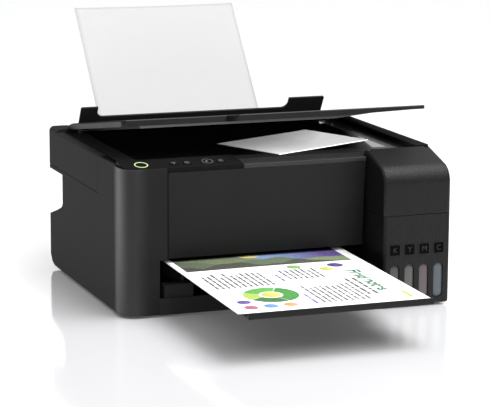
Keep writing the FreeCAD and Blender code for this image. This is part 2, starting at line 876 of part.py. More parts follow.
tank_outer = prism(
    "XY",
    [(TANK_LEFT, FRONT), (RIGHT, FRONT), (RIGHT, TANK_REAR), (TANK_LEFT, TANK_REAR)],
    "foot_height",
    "tank_seam",
)
for x in (TANK_LEFT, RIGHT):
    rounded(tank_outer, "tank_corner", *edges_of(tank_outer.Shape, "z", x=x, y=FRONT))
rounded(tank_outer, "tank_bottom_edge", *edges_of(tank_outer.Shape, "x", y=FRONT, z="foot_height"))
tank_space = box(
    (f"{TANK_LEFT} + wall", f"{RIGHT} - wall"),
    (f"{FRONT} + wall", f"{TANK_REAR} - wall"),
    (FLOOR_TOP, "tank_seam + wall"),
)
filler_deck = box(
    (f"{TANK_LEFT} + wall", f"{RIGHT} - wall"),
    (f"{FRONT} + wall", f"{TANK_REAR} - wall"),
    ("tank_body_top", "tank_body_top + deck_plate"),
)
tank_case = join(cut(tank_outer, tank_space), filler_deck)
neck_y = f"({FRONT} + wall + 0.45 * tank_body_depth)"
inks = ("black", "yellow", "magenta", "cyan")
half_window = "window_width / 2"
fittings = []
for i, ink in enumerate(inks):
    x = f"({TANK_LEFT} + tank_width / 2 + ({i} - 1.5) * tank_pitch)"
    wall_y = (f"{FRONT} - wall", f"{FRONT} + wall")
    low_end = f"(window_bottom + {half_window})"
    high_end = f"(window_top - {half_window})"
    straight = box((f"{x} - {half_window}", f"{x} + {half_window}"), wall_y, (low_end, high_end))
    bottom = rod("y", x, low_end, *wall_y, half_window)
    top = rod("y", x, high_end, *wall_y, half_window)
    neck_hole = rod(
        "z", x, neck_y, "tank_body_top - wall", "tank_seam", "neck_radius + neck_clearance"
    )
    rear_wall_y = (f"{TANK_REAR} - 2 * wall", f"{TANK_REAR} + wall")
    tube_hole = rod("y", x, "tube_height", *rear_wall_y, "2 * tube_radius")
    tank_case = cut(tank_case, join(straight, bottom, top), neck_hole, tube_hole)
    fittings.append(
        box(
            (f"{x} - label_width / 2", f"{x} + label_width / 2"),
            (f"{FRONT} - label_rise", f"{FRONT} + wall / 2"),
            ("label_bottom", "label_top"),
        )
    )
    tank_x = (f"{x} - tank_body_width / 2", f"{x} + tank_body_width / 2")
    tank_y = (f"{FRONT} + wall", f"{FRONT} + wall + tank_body_depth")
    body = box(tank_x, tank_y, (FLOOR_TOP, "tank_body_top"))
    neck = rod("z", x, neck_y, "tank_body_top", "tank_body_top + neck_rise", "neck_radius")
    space = box(
        (f"{tank_x[0]} + tank_wall", f"{tank_x[1]} - tank_wall"),
        (f"{tank_y[0]} + tank_wall", f"{tank_y[1]} - tank_wall"),
        (f"{FLOOR_TOP} + tank_wall", "tank_body_top - tank_wall"),
    )
    bore = rod(
        "z", x, neck_y, "tank_body_top - 2 * tank_wall", "tank_body_top + 2 * neck_rise", "neck_bore"
    )
    node(f"{ink}_tank", cut(join(body, neck), space, bore))
    cap_bottom = "(tank_body_top + neck_rise + cap_gap)"
    disc = rod("z", x, neck_y, cap_bottom, f"{cap_bottom} + cap_height", "cap_radius")
    lug = box(
        (f"{x} - cap_lug / 2", f"{x} + cap_lug / 2"),
        (f"{neck_y} + cap_radius / 2", f"{neck_y} + cap_arm + cap_lug / 2"),
        (cap_bottom, f"{cap_bottom} + cap_lug"),
    )
    pin_place = (f"{neck_y} + cap_arm", f"{cap_bottom} + cap_lug / 2")
    pin_hole = rod(
        "x", *pin_place, f"{x} - cap_lug", f"{x} + cap_lug", "cap_pin_radius + cap_pin_clearance"
    )
    node(f"{ink}_cap", cut(join(disc, lug), pin_hole))
    post_inner = "(cap_lug / 2 + cap_gap)"
    fittings.append(
        rod("x", *pin_place, f"{x} - {post_inner}", f"{x} + {post_inner}", "cap_pin_radius")
    )
    for ends in ((f"-{post_inner} - cap_post", f"-{post_inner}"), (post_inner, f"{post_inner} + cap_post")):
        fittings.append(
            box(
                (f"{x} + {ends[0]}", f"{x} + {ends[1]}"),
                (f"{pin_place[0]} - cap_post", f"{pin_place[0]} + cap_post"),
                ("tank_body_top", f"{pin_place[1]} + cap_post"),
            )
        )
node("tank_case", join(tank_case, *fittings))

tubes = []
joint_y = (f"{TANK_REAR} + tube_run - 4 * tube_radius", f"{TANK_REAR} + tube_run + 4 * tube_radius")
for i in range(len(inks)):
    x = f"({TANK_LEFT} + tank_width / 2 + ({i} - 1.5) * tank_pitch)"
    tubes.append(rod("y", x, "tube_height", f"{FRONT} + wall + tank_body_depth", joint_y[0], "tube_radius"))
tube_joint = box(
    (f"{TANK_LEFT} + tank_width / 2 - 2 * tank_pitch", f"{TANK_LEFT} + tank_width / 2 + 2 * tank_pitch"),
    joint_y,
    (FLOOR_TOP, "tube_height + 4 * tube_radius"),
)
node("ink_tubes", join(*tubes, tube_joint))

cover_rear = f"({FRONT} + cover_rear)"
cover_bottom = "(tank_seam + seam_gap)"
cover_x = (TANK_LEFT, RIGHT)
cover_outer = prism(
    "YZ",
    [
        (cover_rear, "cover_top_rear"),
        (FRONT, "cover_top_front"),
        (FRONT, cover_bottom),
        (cover_rear, cover_bottom),
    ],
    *cover_x,
)
rounded(cover_outer, "cover_curve", *edges_of(cover_outer.Shape, "x", y=FRONT, z="cover_top_front"))
for x in cover_x:
    seam_edges = edges_of(cover_outer.Shape, "", x=x)
    ends = set(edges_of(cover_outer.Shape, "", x=x, y=cover_rear))
    ends |= set(edges_of(cover_outer.Shape, "", x=x, z=cover_bottom))
    rounded(cover_outer, "tank_corner", *[name for name in seam_edges if name not in ends])
cover_inner = prism(
    "YZ",
    [
        (f"{cover_rear} + wall", "cover_top_rear - wall"),
        (f"{FRONT} + wall", "cover_top_front - 1.3 * wall"),
        (f"{FRONT} + wall", "tank_seam - wall"),
        (f"{cover_rear} + wall", "tank_seam - wall"),
    ],
    f"{TANK_LEFT} + wall",
    f"{RIGHT} - wall",
)
rounded(
    cover_inner,
    "cover_curve - wall",
    *edges_of(cover_inner.Shape, "x", y=f"{FRONT} + wall", z="cover_top_front - 1.3 * wall"),
)
node("tank_cover", join(cut(cover_outer, cover_inner, *ear_notches), *pins))

# scanner

BED_FRONT = f"({DECK_Y} + seam_gap)"
BED_REAR = SCANNER_REAR
tub_outer = prism(
    "YZ",
    [
        (BED_FRONT, "tub_top"),
        (f"{BED_FRONT} + tub_front_slope", "tub_bottom"),
        (f"{BED_REAR} - (tub_top - tub_bottom) * tan(feed_tilt)", "tub_bottom"),
        (BED_REAR, "tub_top"),
    ],
    BAY_LEFT,
    BAY_RIGHT,
)
tub_inner = prism(
    "YZ",
    [
        (f"{BED_FRONT} + wall", "tub_top + wall"),
        (f"{BED_FRONT} + tub_front_slope + wall", "tub_bottom + wall"),
        (f"{BED_REAR} - (tub_top - tub_bottom) * tan(feed_tilt) - 0.4 * wall", "tub_bottom + wall"),
        (f"{BED_REAR} - wall * 1.4", "tub_top"),
        (f"{BED_REAR} - wall * 1.4", "tub_top + wall"),
    ],
    f"{BAY_LEFT} + wall",
    f"{BAY_RIGHT} - wall",
)
rail_middle = f"(({BED_FRONT} + {BED_REAR}) / 2 - 20)"
scan_rail = box(
    (f"{BAY_LEFT} + wall", f"{BAY_RIGHT} - wall"),
    (f"{rail_middle} - rail_width / 2", f"{rail_middle} + rail_width / 2"),
    ("tub_bottom + wall", "tub_bottom + wall + rail_height"),
)
node("scanner_tub", join(cut(tub_outer, tub_inner), scan_rail))
glass_z = ("tub_top", "tub_top + glass_thickness")

# hinge line at the rear of the bed, shared by the case, the scanner and the lid

lid_bottom = "(lid_top - lid_thickness)"
lid_hinge = (f"({BED_REAR} - lid_hinge_inset)", "(lid_top - lid_hinge_drop)")
cheek_front = f"({SCANNER_REAR} + 2 * seam_gap)"
case_leaves = []
bed_leaves = []
lid_slots = []
pin_holes = []
for start, way in ((FEEDER_LEFT, 1), (FEEDER_RIGHT, -1)):

    def across(first, second):
        """Low and high X of a stretch counted inwards from the feeder's end."""
        ends = (f"({start} + {way} * ({first}))", f"({start} + {way} * ({second}))")
        return ends if way > 0 else ends[::-1]

    case_x = across("0", "hinge_leaf")
    bed_x = across("hinge_leaf + hinge_gap", "2 * hinge_leaf + hinge_gap")
    slot_x = across("-2 * hinge_gap", "2 * hinge_leaf + 2 * hinge_gap")
    pin_x = across("0", "3 * hinge_leaf + 2 * hinge_gap")
    bed_arm_y = (f"{lid_hinge[0]} - hinge_knuckle", f"{lid_hinge[0]} + hinge_knuckle")
    bed_arm = box(bed_x, bed_arm_y, (glass_z[0], lid_hinge[1]))
    bed_leaves.append(join(bed_arm, rod("x", *lid_hinge, *bed_x, "hinge_knuckle")))
    case_arm_y = (lid_hinge[0], f"{cheek_front} + wall")
    case_arm = box(case_x, case_arm_y, (f"{lid_hinge[1]} - 2 * hinge_knuckle", lid_hinge[1]))
    case_leaves += [case_arm, rod("x", *lid_hinge, *case_x, "hinge_knuckle")]
    case_leaves.append(rod("x", *lid_hinge, *pin_x, "hinge_pin_radius"))
    pin_holes.append(rod("x", *lid_hinge, *pin_x, "hinge_pin_radius + pin_clearance"))
    slot_y = (f"{lid_hinge[0]} - hinge_slot", f"{BED_REAR} + wall")
    lid_slots.append(box(slot_x, slot_y, (f"{lid_bottom} - wall", "lid_top + wall")))

glass_x = "((" + BAY_LEFT + " + " + BAY_RIGHT + ") / 2)"
glass_y = f"(({BED_FRONT} + {BED_REAR}) / 2)"
node(
    "scanner_glass",
    box(
        (f"{glass_x} - glass_width / 2", f"{glass_x} + glass_width / 2"),
        (f"{glass_y} - glass_depth / 2", f"{glass_y} + glass_depth / 2"),
        glass_z,
    ),
)
bezel_sheet = prism(
    "XY",
    [
        (BAY_LEFT, BED_FRONT),
        (f"{DECK_RIGHT} + seam_gap", BED_FRONT),
        (f"{DECK_RIGHT} + seam_gap", f"{TRIM_Y} + seam_gap"),
        (BAY_RIGHT, f"{TRIM_Y} + seam_gap"),
        (BAY_RIGHT, BED_REAR),
        (BAY_LEFT, BED_REAR),
    ],
    *glass_z,
)
glass_space = box(
    (f"{glass_x} - glass_width / 2", f"{glass_x} + glass_width / 2"),
    (f"{glass_y} - glass_depth / 2", f"{glass_y} + glass_depth / 2"),
    ("tub_top - wall", f"{glass_z[1]} + wall"),
)
node("scanner_bezel", cut(join(cut(bezel_sheet, glass_space), *bed_leaves), *pin_holes))
sensor_x = f"({BAY_LEFT} + wall + sensor_rest + sensor_width / 2)"
sensor_top = "(tub_top - sensor_gap)"
sensor = box(
    (f"{sensor_x} - sensor_width / 2", f"{sensor_x} + sensor_width / 2"),
    (f"{BED_FRONT} + 5 * wall", f"{BED_REAR} - (sensor_height + 3) * tan(feed_tilt) - wall"),
    (f"{sensor_top} - sensor_height", sensor_top),
)
sensor_shoe = box(
    (f"{sensor_x} - sensor_width / 2", f"{sensor_x} + sensor_width / 2"),
    (f"{rail_middle} - 2 * rail_width", f"{rail_middle} + 2 * rail_width"),
    ("tub_bottom + wall + rail_height / 2", f"{sensor_top} - sensor_height / 2"),
)
rail_groove = box(
    (f"{sensor_x} - sensor_width", f"{sensor_x} + sensor_width"),
    (
        f"{rail_middle} - rail_width / 2 - rail_clearance",
        f"{rail_middle} + rail_width / 2 + rail_clearance",
    ),
    ("tub_bottom", "tub_bottom + wall + rail_height + rail_clearance"),
)
node("sensor_bar", cut(join(sensor, sensor_shoe), rail_groove))

# document lid

LID_FRONT = f"({TRIM_Y} - lid_front_lap)"
lid_mid = "(lid_top - lid_margin_thickness)"


def lid_outline(right, inset):
    """The lid's outline, its front edge stepped back beside the control panel."""
    return [
        (f"{LID_LEFT} + {inset}", f"{BED_FRONT} + {inset}"),
        (f"{LID_STEP} + {inset}", f"{BED_FRONT} + {inset}"),
        (f"{LID_STEP} + {inset}", f"{LID_FRONT} + {inset}"),
        (f"{right} - {inset}", f"{LID_FRONT} + {inset}"),
        (f"{right} - {inset}", f"{BED_REAR} - {inset}"),
        (f"{LID_LEFT} + {inset}", f"{BED_REAR} - {inset}"),
    ]


lid_skin = prism("XY", lid_outline(LID_RIGHT, "0"), lid_mid, "lid_top")
for x, y in ((LID_LEFT, BED_FRONT), (LID_STEP, LID_FRONT), (LID_RIGHT, LID_FRONT)):
    rounded(lid_skin, "lid_corner", *edges_of(lid_skin.Shape, "z", x=x, y=y))
rounded(lid_skin, "lid_edge", *edges_of(lid_skin.Shape, "", z="lid_top"))
inner_right = f"({LID_RIGHT} - lid_margin)"
lid_wall = prism("XY", lid_outline(inner_right, "0"), lid_bottom, lid_mid)
for x, y in ((LID_LEFT, BED_FRONT), (LID_STEP, LID_FRONT)):
    rounded(lid_wall, "lid_corner", *edges_of(lid_wall.Shape, "z", x=x, y=y))
pad_x = (
    f"{glass_x} - glass_width / 2 + window_margin + pad_clearance",
    f"{glass_x} + glass_width / 2 - window_margin - pad_clearance",
)
pad_y = (
    f"{glass_y} - glass_depth / 2 + window_margin + pad_clearance",
    f"{glass_y} + glass_depth / 2 - window_margin - pad_clearance",
)
pad_space = box(pad_x, pad_y, (f"{lid_bottom} - wall", f"{lid_bottom} + lid_recess"))
rear_notch = box(
    (inner_right, f"{LID_RIGHT} + wall"),
    (f"{lid_hinge[0]} - lid_rear_clear", f"{BED_REAR} + wall"),
    (f"{lid_bottom} - wall", "lid_top + wall"),
)
lid_bevel = prism(
    "XZ",
    [
        (f"{inner_right} - lid_taper", lid_bottom),
        (inner_right, lid_mid),
        (f"{inner_right} + wall", lid_mid),
        (f"{inner_right} + wall", f"{lid_bottom} - wall"),
        (f"{inner_right} - lid_taper", f"{lid_bottom} - wall"),
    ],
    f"{LID_FRONT} - wall",
    f"{BED_REAR} + wall",
)
rear_fall = prism(
    "YZ",
    [
        (f"{BED_REAR} + wall", "lid_top - lid_rear_drop"),
        (f"{lid_hinge[0]} - lid_rear_slope", "lid_top"),
        (f"{lid_hinge[0]} - lid_rear_slope", "lid_top + wall"),
        (f"{BED_REAR} + wall", "lid_top + wall"),
    ],
    f"{LID_LEFT} - wall",
    f"{LID_RIGHT} + wall",
)
lid = cut(join(lid_skin, lid_wall), pad_space, lid_bevel, rear_fall, rear_notch, *lid_slots, *pin_holes)
node("document_lid", swing(lid, *lid_hinge, "lid_open"))
pad_corners = [(pad_x[i], pad_y[j]) for i, j in ((0, 0), (1, 0), (1, 1), (0, 1))]
pad = prism("XY", pad_corners, f"{lid_bottom} - pad_drop", f"{lid_bottom} + lid_recess")
pad_end = f"({pad_x[1]} - ({inner_right} - lid_taper))"
pad_rise = f"({lid_bottom} + ({lid_mid} - ({lid_bottom})) * {pad_end} / lid_taper)"
pad_bevel = prism(
    "XZ",
    [
        (f"{pad_x[1]} - pad_taper", f"{lid_bottom} - pad_drop"),
        (pad_x[1], pad_rise),
        (f"{pad_x[1]} + wall", pad_rise),
        (f"{pad_x[1]} + wall", f"{lid_bottom} - pad_drop - wall"),
        (f"{pad_x[1]} - pad_taper", f"{lid_bottom} - pad_drop - wall"),
    ],
    f"{LID_FRONT} - wall",
    f"{BED_REAR} + wall",
)
node("lid_pad", swing(cut(pad, pad_bevel), *lid_hinge, "lid_open"))

# rear feed

sheet_x = (f"{SHEET_X} - sheet_width / 2", f"{SHEET_X} + sheet_width / 2")
node(
    "blank_sheet",
    slope_plate("sheet_above - sheet_length", "sheet_above", "0", "sheet_thickness", *sheet_x),
)
hopper_near = "(sheet_thickness + hopper_gap)"
hopper_far = f"({hopper_near} + hopper_thickness)"
guard_end = f"({GUARD_RIGHT} + guard_end_gap)"
node(
    "hopper_plate",
    slope_plate(
        "-hopper_top - hopper_length",
        "-hopper_top",
        hopper_near,
        hopper_far,
        f"{LEFT} + hopper_left",
        guard_end,
    ),
)
support_near = f"({hopper_far} + support_gap)"
support_far = f"({support_near} + support_thickness)"
support_x = (f"{SHEET_X} - support_width / 2", f"{SHEET_X} + support_width / 2")
support_corners = [
    (support_x[0], "support_above - support_length"),
    (support_x[1], "support_above - support_length"),
    (support_x[1], "support_above"),
    (support_x[0], "support_above"),
]
support = prism("XZ", support_corners, support_near, support_far)
for x in support_x:
    rounded(support, "support_corner", *edges_of(support.Shape, "y", x=x, z="support_above"))
lean(support)
node("paper_support", support)

guard_axis = (f"({SCANNER_REAR} + guard_lead)", "guard_bottom")
guard_bar = "(guard_bottom + (guard_bar_top - guard_bottom) / cos(guard_tilt))"
guard_ear = "(guard_bottom + (guard_ear_top - guard_bottom) / cos(guard_tilt))"
guard_x = (GUARD_LEFT, GUARD_RIGHT)
notch_x = (f"{FEEDER_LEFT} + guard_notch_left", f"{FEEDER_RIGHT} - guard_notch_right")
guard_outline = [
    (guard_x[0], "guard_bottom"),
    (guard_x[1], "guard_bottom"),
    (guard_x[1], guard_ear),
    (notch_x[1], guard_ear),
    (notch_x[1], guard_bar),
    (notch_x[0], guard_bar),
    (notch_x[0], guard_ear),
    (guard_x[0], guard_ear),
]
guard = prism(
    "XZ",
    guard_outline,
    f"{guard_axis[0]} - guard_thickness / 2",
    f"{guard_axis[0]} + guard_thickness / 2",
)
for x in notch_x:
    rounded(guard, "guard_corner", *edges_of(guard.Shape, "y", x=x, z=guard_bar))
for x in guard_x:
    rounded(guard, "guard_corner / 4", *edges_of(guard.Shape, "y", x=x, z=guard_ear))
swing(guard, *guard_axis, "guard_tilt", -1)
guard_pin_x = (f"{GUARD_LEFT} - 2 * guard_end_gap", f"{GUARD_RIGHT} + 2 * guard_end_gap")
barrel = rod("x", *guard_axis, *guard_x, "0.9 * guard_thickness")
guard_pin = rod("x", *guard_axis, *guard_pin_x, "guard_pin_radius")
node("feeder_guard", join(guard, barrel, guard_pin))

cheek_z = ("recess_top + wall", "left_height + corner_block_rise")
cheek_y = (cheek_front, f"{REAR} - wall")
left_cheek = box((FEEDER_LEFT, f"{GUARD_LEFT} - guard_end_gap"), cheek_y, cheek_z)
right_cheek = box((guard_end, FEEDER_RIGHT), cheek_y, cheek_z)
rear_bar = box(
    (FEEDER_LEFT, FEEDER_RIGHT),
    (f"{REAR} - wall - feeder_bar", f"{REAR} - wall"),
    ("left_height - wall - feeder_bar_height", "left_height - wall"),
)
guard_bore = rod("x", *guard_axis, FEEDER_LEFT, FEEDER_RIGHT, "guard_pin_radius + pin_clearance")
node("feeder_housing", cut(join(left_cheek, right_cheek, rear_bar, *case_leaves), guard_bore))

guide_x = f"({SHEET_X} + sheet_width / 2 + guide_gap)"
node(
    "edge_guide",
    slope_plate(
        "-hopper_top - guide_length",
        "-hopper_top",
        f"{hopper_near} - guide_height",
        f"{hopper_near} - 0.15",
        guide_x,
        f"{guide_x} + 3 * guide_thickness",
    ),
)

# frame and paper path

frame_z = (FLOOR_TOP, "frame_height")
plate_y = (inside_y("-frame_front"), inside_y("frame_back"))
left_plate_x = (PLATE_LEFT, f"{PLATE_LEFT} + frame_thickness")
right_plate_x = (PLATE_RIGHT, f"{PLATE_RIGHT} + frame_thickness")
inner_x = (left_plate_x[1], right_plate_x[0])
feed_axis = (inside_y("feed_roller_y"), "feed_roller_z")
exit_axis = (inside_y("exit_roller_y"), "exit_roller_z")
pickup_reach = "((pickup_radius + pickup_gap) / cos(feed_tilt))"
pickup_y = f"(case_middle + feed_y + (pickup_z - feed_z) * tan(feed_tilt) - {pickup_reach})"
pickup_axis = (pickup_y, "pickup_z")
plates = [box(left_plate_x, plate_y, frame_z), box(right_plate_x, plate_y, frame_z)]
wall_y = (inside_y("frame_wall_y"), inside_y("frame_wall_y + frame_thickness"))
frame_wall = box(inner_x, wall_y, ("frame_wall_bottom", "frame_height"))
idler_pin = rod(
    "y", PULLEY_LEFT, "pulley_z", inside_y("pulley_y"), inside_y("frame_wall_y"), "pulley_shaft_radius"
)
frame_holes = []
for y, z in (feed_axis, exit_axis, pickup_axis):
    frame_holes.append(
        rod("x", y, z, f"{PLATE_LEFT} - wall", f"{PLATE_RIGHT} + 2 * wall", "shaft_radius + pin_clearance")
    )
frame_holes.append(
    rod(
        "y",
        PULLEY_RIGHT,
        "pulley_z",
        inside_y("frame_wall_y - wall"),
        inside_y("frame_wall_y + 2 * wall"),
        "pulley_shaft_radius + pin_clearance",
    )
)
node("main_frame", join(cut(join(*plates, frame_wall), *frame_holes), idler_pin))

gear_x = (f"{PLATE_LEFT} - wall - gear_width", f"{PLATE_LEFT} - wall")


def driven_roller(label, axis, radius, covered, gear):
    """A shaft across the frame with its rubber sleeve, and a gear at its left end if it has one."""
    left = gear_x[0] if gear else left_plate_x[0]
    shaft = rod("x", *axis, left, right_plate_x[1], "shaft_radius")
    sleeve = rod("x", *axis, *covered, radius)
    parts = [shaft, sleeve]
    if gear:
        parts.append(rod("x", *axis, *gear_x, gear))
    node(label, join(*parts))


sleeve_x = (f"{PLATE_LEFT} + roller_cover", TRAY_RIGHT)
driven_roller("feed_roller", feed_axis, "feed_roller_radius", sleeve_x, "gear_radius")
driven_roller("exit_roller", exit_axis, "exit_roller_radius", sleeve_x, "gear_radius")
pickup_x = (f"{SHEET_X} - pickup_width / 2", f"{SHEET_X} + pickup_width / 2")
driven_roller("pickup_roller", pickup_axis, "pickup_radius", pickup_x, None)

drive_axis = (
    f"(({feed_axis[0]} + {exit_axis[0]}) / 2)",
    f"(({feed_axis[1]} + {exit_axis[1]}) / 2)",
)
span_y = "(feed_roller_y - exit_roller_y)"
span_z = "(feed_roller_z - exit_roller_z)"
drive_radius = f"(sqrt({span_y} * {span_y} + {span_z} * {span_z}) / 2 - gear_radius - gear_gap)"
drive_gear = rod("x", *drive_axis, *gear_x, drive_radius)
drive_shaft = rod("x", *drive_axis, f"{MOTOR_END} - 3 * gear_width", gear_x[0], "motor_shaft_radius")
node("drive_gear", join(drive_gear, drive_shaft))
motor = rod("x", *drive_axis, f"{LEFT} + wall", MOTOR_END, "motor_radius")
motor_bore = rod(
    "x",
    *drive_axis,
    f"{MOTOR_END} - 3 * gear_width - wall",
    f"{MOTOR_END} + wall",
    "motor_shaft_radius + pin_clearance",
)
node("feed_motor", cut(motor, motor_bore))

platen_y = (inside_y("platen_front"), inside_y("platen_back"))
node("platen", box((inner_x[0], f"{PLATE_RIGHT} - platen_right"), platen_y, ("platen_bottom", "platen_top")))

# carriage and its drive

rod_y = inside_y("rod_y")
node("carriage_rail", rod("x", rod_y, "rod_z", *inner_x, "rod_radius"))
carriage_x = (f"{CARRIAGE_X} - carriage_width / 2", f"{CARRIAGE_X} + carriage_width / 2")
carriage_y = (inside_y("carriage_front"), inside_y("carriage_back"))
holder = box(carriage_x, carriage_y, ("carriage_bottom", "carriage_top"))
bay = box(
    (f"{carriage_x[0]} + carriage_bay", f"{carriage_x[1]} - carriage_bay"),
    (f"{carriage_y[0]} + carriage_bay", f"{carriage_y[1]} - carriage_bay"),
    ("carriage_bottom + 5 * carriage_bay", "carriage_top + wall"),
)
boss = rod("x", rod_y, "rod_z", *carriage_x, "rod_radius + wall")
boss_arm = box(
    carriage_x, (carriage_y[1], rod_y), ("rod_z - rod_radius - wall", "rod_z + rod_radius / 2 + wall")
)
rod_bore = rod(
    "x",
    rod_y,
    "rod_z",
    f"{carriage_x[0]} - wall",
    f"{carriage_x[1]} + wall",
    "rod_radius + pin_clearance",
)
node("print_carriage", cut(join(cut(holder, bay), boss, boss_arm), rod_bore))
node(
    "print_head",
    box(
        (f"{carriage_x[0]} + head_inset", f"{carriage_x[1]} - head_inset"),
        (f"{carriage_y[0]} + head_inset", f"{carriage_y[1]} - head_inset"),
        ("carriage_bottom - head_drop", "carriage_bottom"),
    ),
)
pulley_y = (inside_y("pulley_y"), inside_y("pulley_y + pulley_width"))
drive_wheel = rod("y", PULLEY_RIGHT, "pulley_z", *pulley_y, "pulley_radius")
motor_y = (wall_y[1], f"{wall_y[1]} + carriage_motor_length")
wheel_shaft = rod(
    "y", PULLEY_RIGHT, "pulley_z", pulley_y[1], f"{motor_y[0]} + 4 * wall", "pulley_shaft_radius"
)
node("drive_pulley", join(drive_wheel, wheel_shaft))
idler_wheel = rod("y", PULLEY_LEFT, "pulley_z", *pulley_y, "pulley_radius")
idler_bore = rod(
    "y",
    PULLEY_LEFT,
    "pulley_z",
    f"{pulley_y[0]} - wall",
    f"{pulley_y[1]} + wall",
    "pulley_shaft_radius + pin_clearance",
)
node("idler_pulley", cut(idler_wheel, idler_bore))


def belt_loop(radius):
    """A filled band outline around both pulleys."""
    ends = [rod("y", x, "pulley_z", *pulley_y, radius) for x in (PULLEY_LEFT, PULLEY_RIGHT)]
    middle = box(
        (PULLEY_LEFT, PULLEY_RIGHT), pulley_y, (f"pulley_z - ({radius})", f"pulley_z + {radius}")
    )
    return join(*ends, middle)


belt_inner = "(pulley_radius + belt_clearance)"
node("timing_belt", cut(belt_loop(f"({belt_inner} + belt_thickness)"), belt_loop(belt_inner)))
carriage_motor = rod("y", PULLEY_RIGHT, "pulley_z", *motor_y, "carriage_motor_radius")
shaft_bore = rod(
    "y",
    PULLEY_RIGHT,
    "pulley_z",
    f"{motor_y[0]} - wall",
    f"{motor_y[0]} + 5 * wall",
    "pulley_shaft_radius + pin_clearance",
)
node("carriage_motor", cut(carriage_motor, shaft_bore))
capping_base = box(
    (f"{PLATE_RIGHT} - capping_left", f"{PLATE_RIGHT} - capping_right"),
    (inside_y("-capping_half"), inside_y("capping_half")),
    (FLOOR_TOP, "0.8 * capping_top"),
)
capping_seat = box(
    (f"{CARRIAGE_X} - capping_half / 2", f"{CARRIAGE_X} + capping_half / 2"),
    (inside_y("-0.8 * capping_half"), inside_y("0.8 * capping_half")),
    ("0.8 * capping_top", "capping_top"),
)
node("capping_station", join(capping_base, capping_seat))

# electrics

node(
    "power_supply",
    box(
        (f"{RIGHT} - supply_left", f"{RIGHT} - 2 * wall"),
        (inside_y("supply_front"), f"{REAR} - wall"),
        (f"{FLOOR_TOP} + skirt_rise", f"{FLOOR_TOP} + skirt_rise + supply_height"),
    ),
)
board_x = (f"{RECESS_X} + wall", f"{RECESS_X} + wall + board_thickness")
board_y = (inside_y("board_front"), inside_y("board_back"))
board = box(board_x, board_y, (FLOOR_TOP, "recess_top - 4 * wall"))
data_port = box(
    (f"{RECESS_X} - wall / 2", board_x[0]),
    socket_span(port_y, "data_port_width", "0"),
    socket_span(socket_z, "data_port_height", "0"),
)
port_mouth = box(
    (f"{RECESS_X} - wall", f"{RECESS_X} + 0.8 * wall"),
    socket_span(port_y, "data_port_width", "-wall / 2"),
    socket_span(socket_z, "data_port_height", "-wall / 2"),
)
node("logic_board", join(board, cut(data_port, port_mouth)))
inlet_body = box(
    (RECESS_X, f"{RECESS_X} + inlet_depth"),
    socket_span(inlet_y, "inlet_width", "0"),
    socket_span(socket_z, "inlet_height", "0"),
)
inlet_flange = box(
    (f"{RECESS_X} - wall", RECESS_X),
    socket_span(inlet_y, "inlet_width", "wall"),
    socket_span(socket_z, "inlet_height", "wall"),
)
inlet_mouth = box(
    (f"{RECESS_X} - 2 * wall", f"{RECESS_X} + inlet_depth - 2 * wall"),
    socket_span(inlet_y, "inlet_width", "-wall"),
    socket_span(socket_z, "inlet_height", "-wall"),
)
contacts = []
for shift in ("-inlet_height / 6", "inlet_height / 6"):
    contacts.append(
        rod(
            "x",
            inlet_y,
            f"{socket_z} + {shift}",
            f"{RECESS_X} + wall",
            f"{RECESS_X} + inlet_depth - wall",
            "inlet_width / 16",
        )
    )
node("ac_inlet", join(cut(join(inlet_body, inlet_flange), inlet_mouth), *contacts))

# output tray with its extension, and the printed page

tray_top = "(tray_bottom + tray_thickness)"
node(
    "output_tray",
    box(
        (TRAY_LEFT, TRAY_RIGHT),
        (inside_y("-tray_front"), inside_y("-tray_back")),
        ("tray_bottom", tray_top),
    ),
)
extension_x = (f"{PAGE_LEFT} + extension_inset", f"{TRAY_RIGHT} - tray_inset")
extension_bottom = f"({tray_top} + tray_step_gap)"
extension_plate = box(
    extension_x,
    (inside_y("-extension_front"), inside_y("-extension_back")),
    (extension_bottom, f"{extension_bottom} + lip_thickness"),
)
lip_top = f"{extension_bottom} + extension_lip - lip_thickness / 3"
extension_front = prism(
    "YZ",
    [
        (inside_y("-extension_front"), extension_bottom),
        (inside_y("-extension_front + 3 * lip_thickness"), extension_bottom),
        (inside_y("-extension_front + lip_thickness"), lip_top),
        (inside_y("-extension_front"), lip_top),
    ],
    *extension_x,
)
node("tray_extension", join(extension_plate, extension_front))
page_x = (PAGE_LEFT, f"{PAGE_LEFT} + page_width")
page_y = (inside_y("-page_front"), inside_y("-page_front + page_length"))
node(
    "printed_page",
    prism(
        "YZ",
        [
            (page_y[0], "page_height"),
            (page_y[1], "page_height + page_rise"),
            (page_y[1], "page_height + page_rise + page_thickness"),
            (page_y[0], "page_height + page_thickness"),
        ],
        *page_x,
    ),
)

# photo card face down on the glass

card = doc.addObject("Part::Box", "card")
bind(card, "Length", "card_length")
bind(card, "Width", "card_width")
bind(card, "Height", "page_thickness")
card.Placement.Rotation = FreeCAD.Rotation(FreeCAD.Vector(0, 0, 1), number("card_turn"))
bind(card, "Placement.Rotation.Angle", "card_turn")
bind(card, "Placement.Base.x", f"{glass_x} + card_x + card_width * sin(card_turn)")
bind(card, "Placement.Base.y", "case_middle + card_y - card_width * cos(card_turn)")
bind(card, "Placement.Base.z", glass_z[1])
node("photo_card", card)

doc.recompute()
for thing in doc.Objects:
    if "Invalid" in thing.State or "Error" in thing.State:
        raise RuntimeError(f"{thing.Label} is {thing.State}")
os.makedirs("parts", exist_ok=True)
for label, thing in nodes.items():
    if thing.Shape.isNull() or not thing.Shape.isValid():
        raise RuntimeError(f"{label} has no valid shape")
    thing.Shape.exportStep(f"parts/{label}.step")
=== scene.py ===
import math

import bpy
import numpy as np
from mathutils import Matrix, Vector


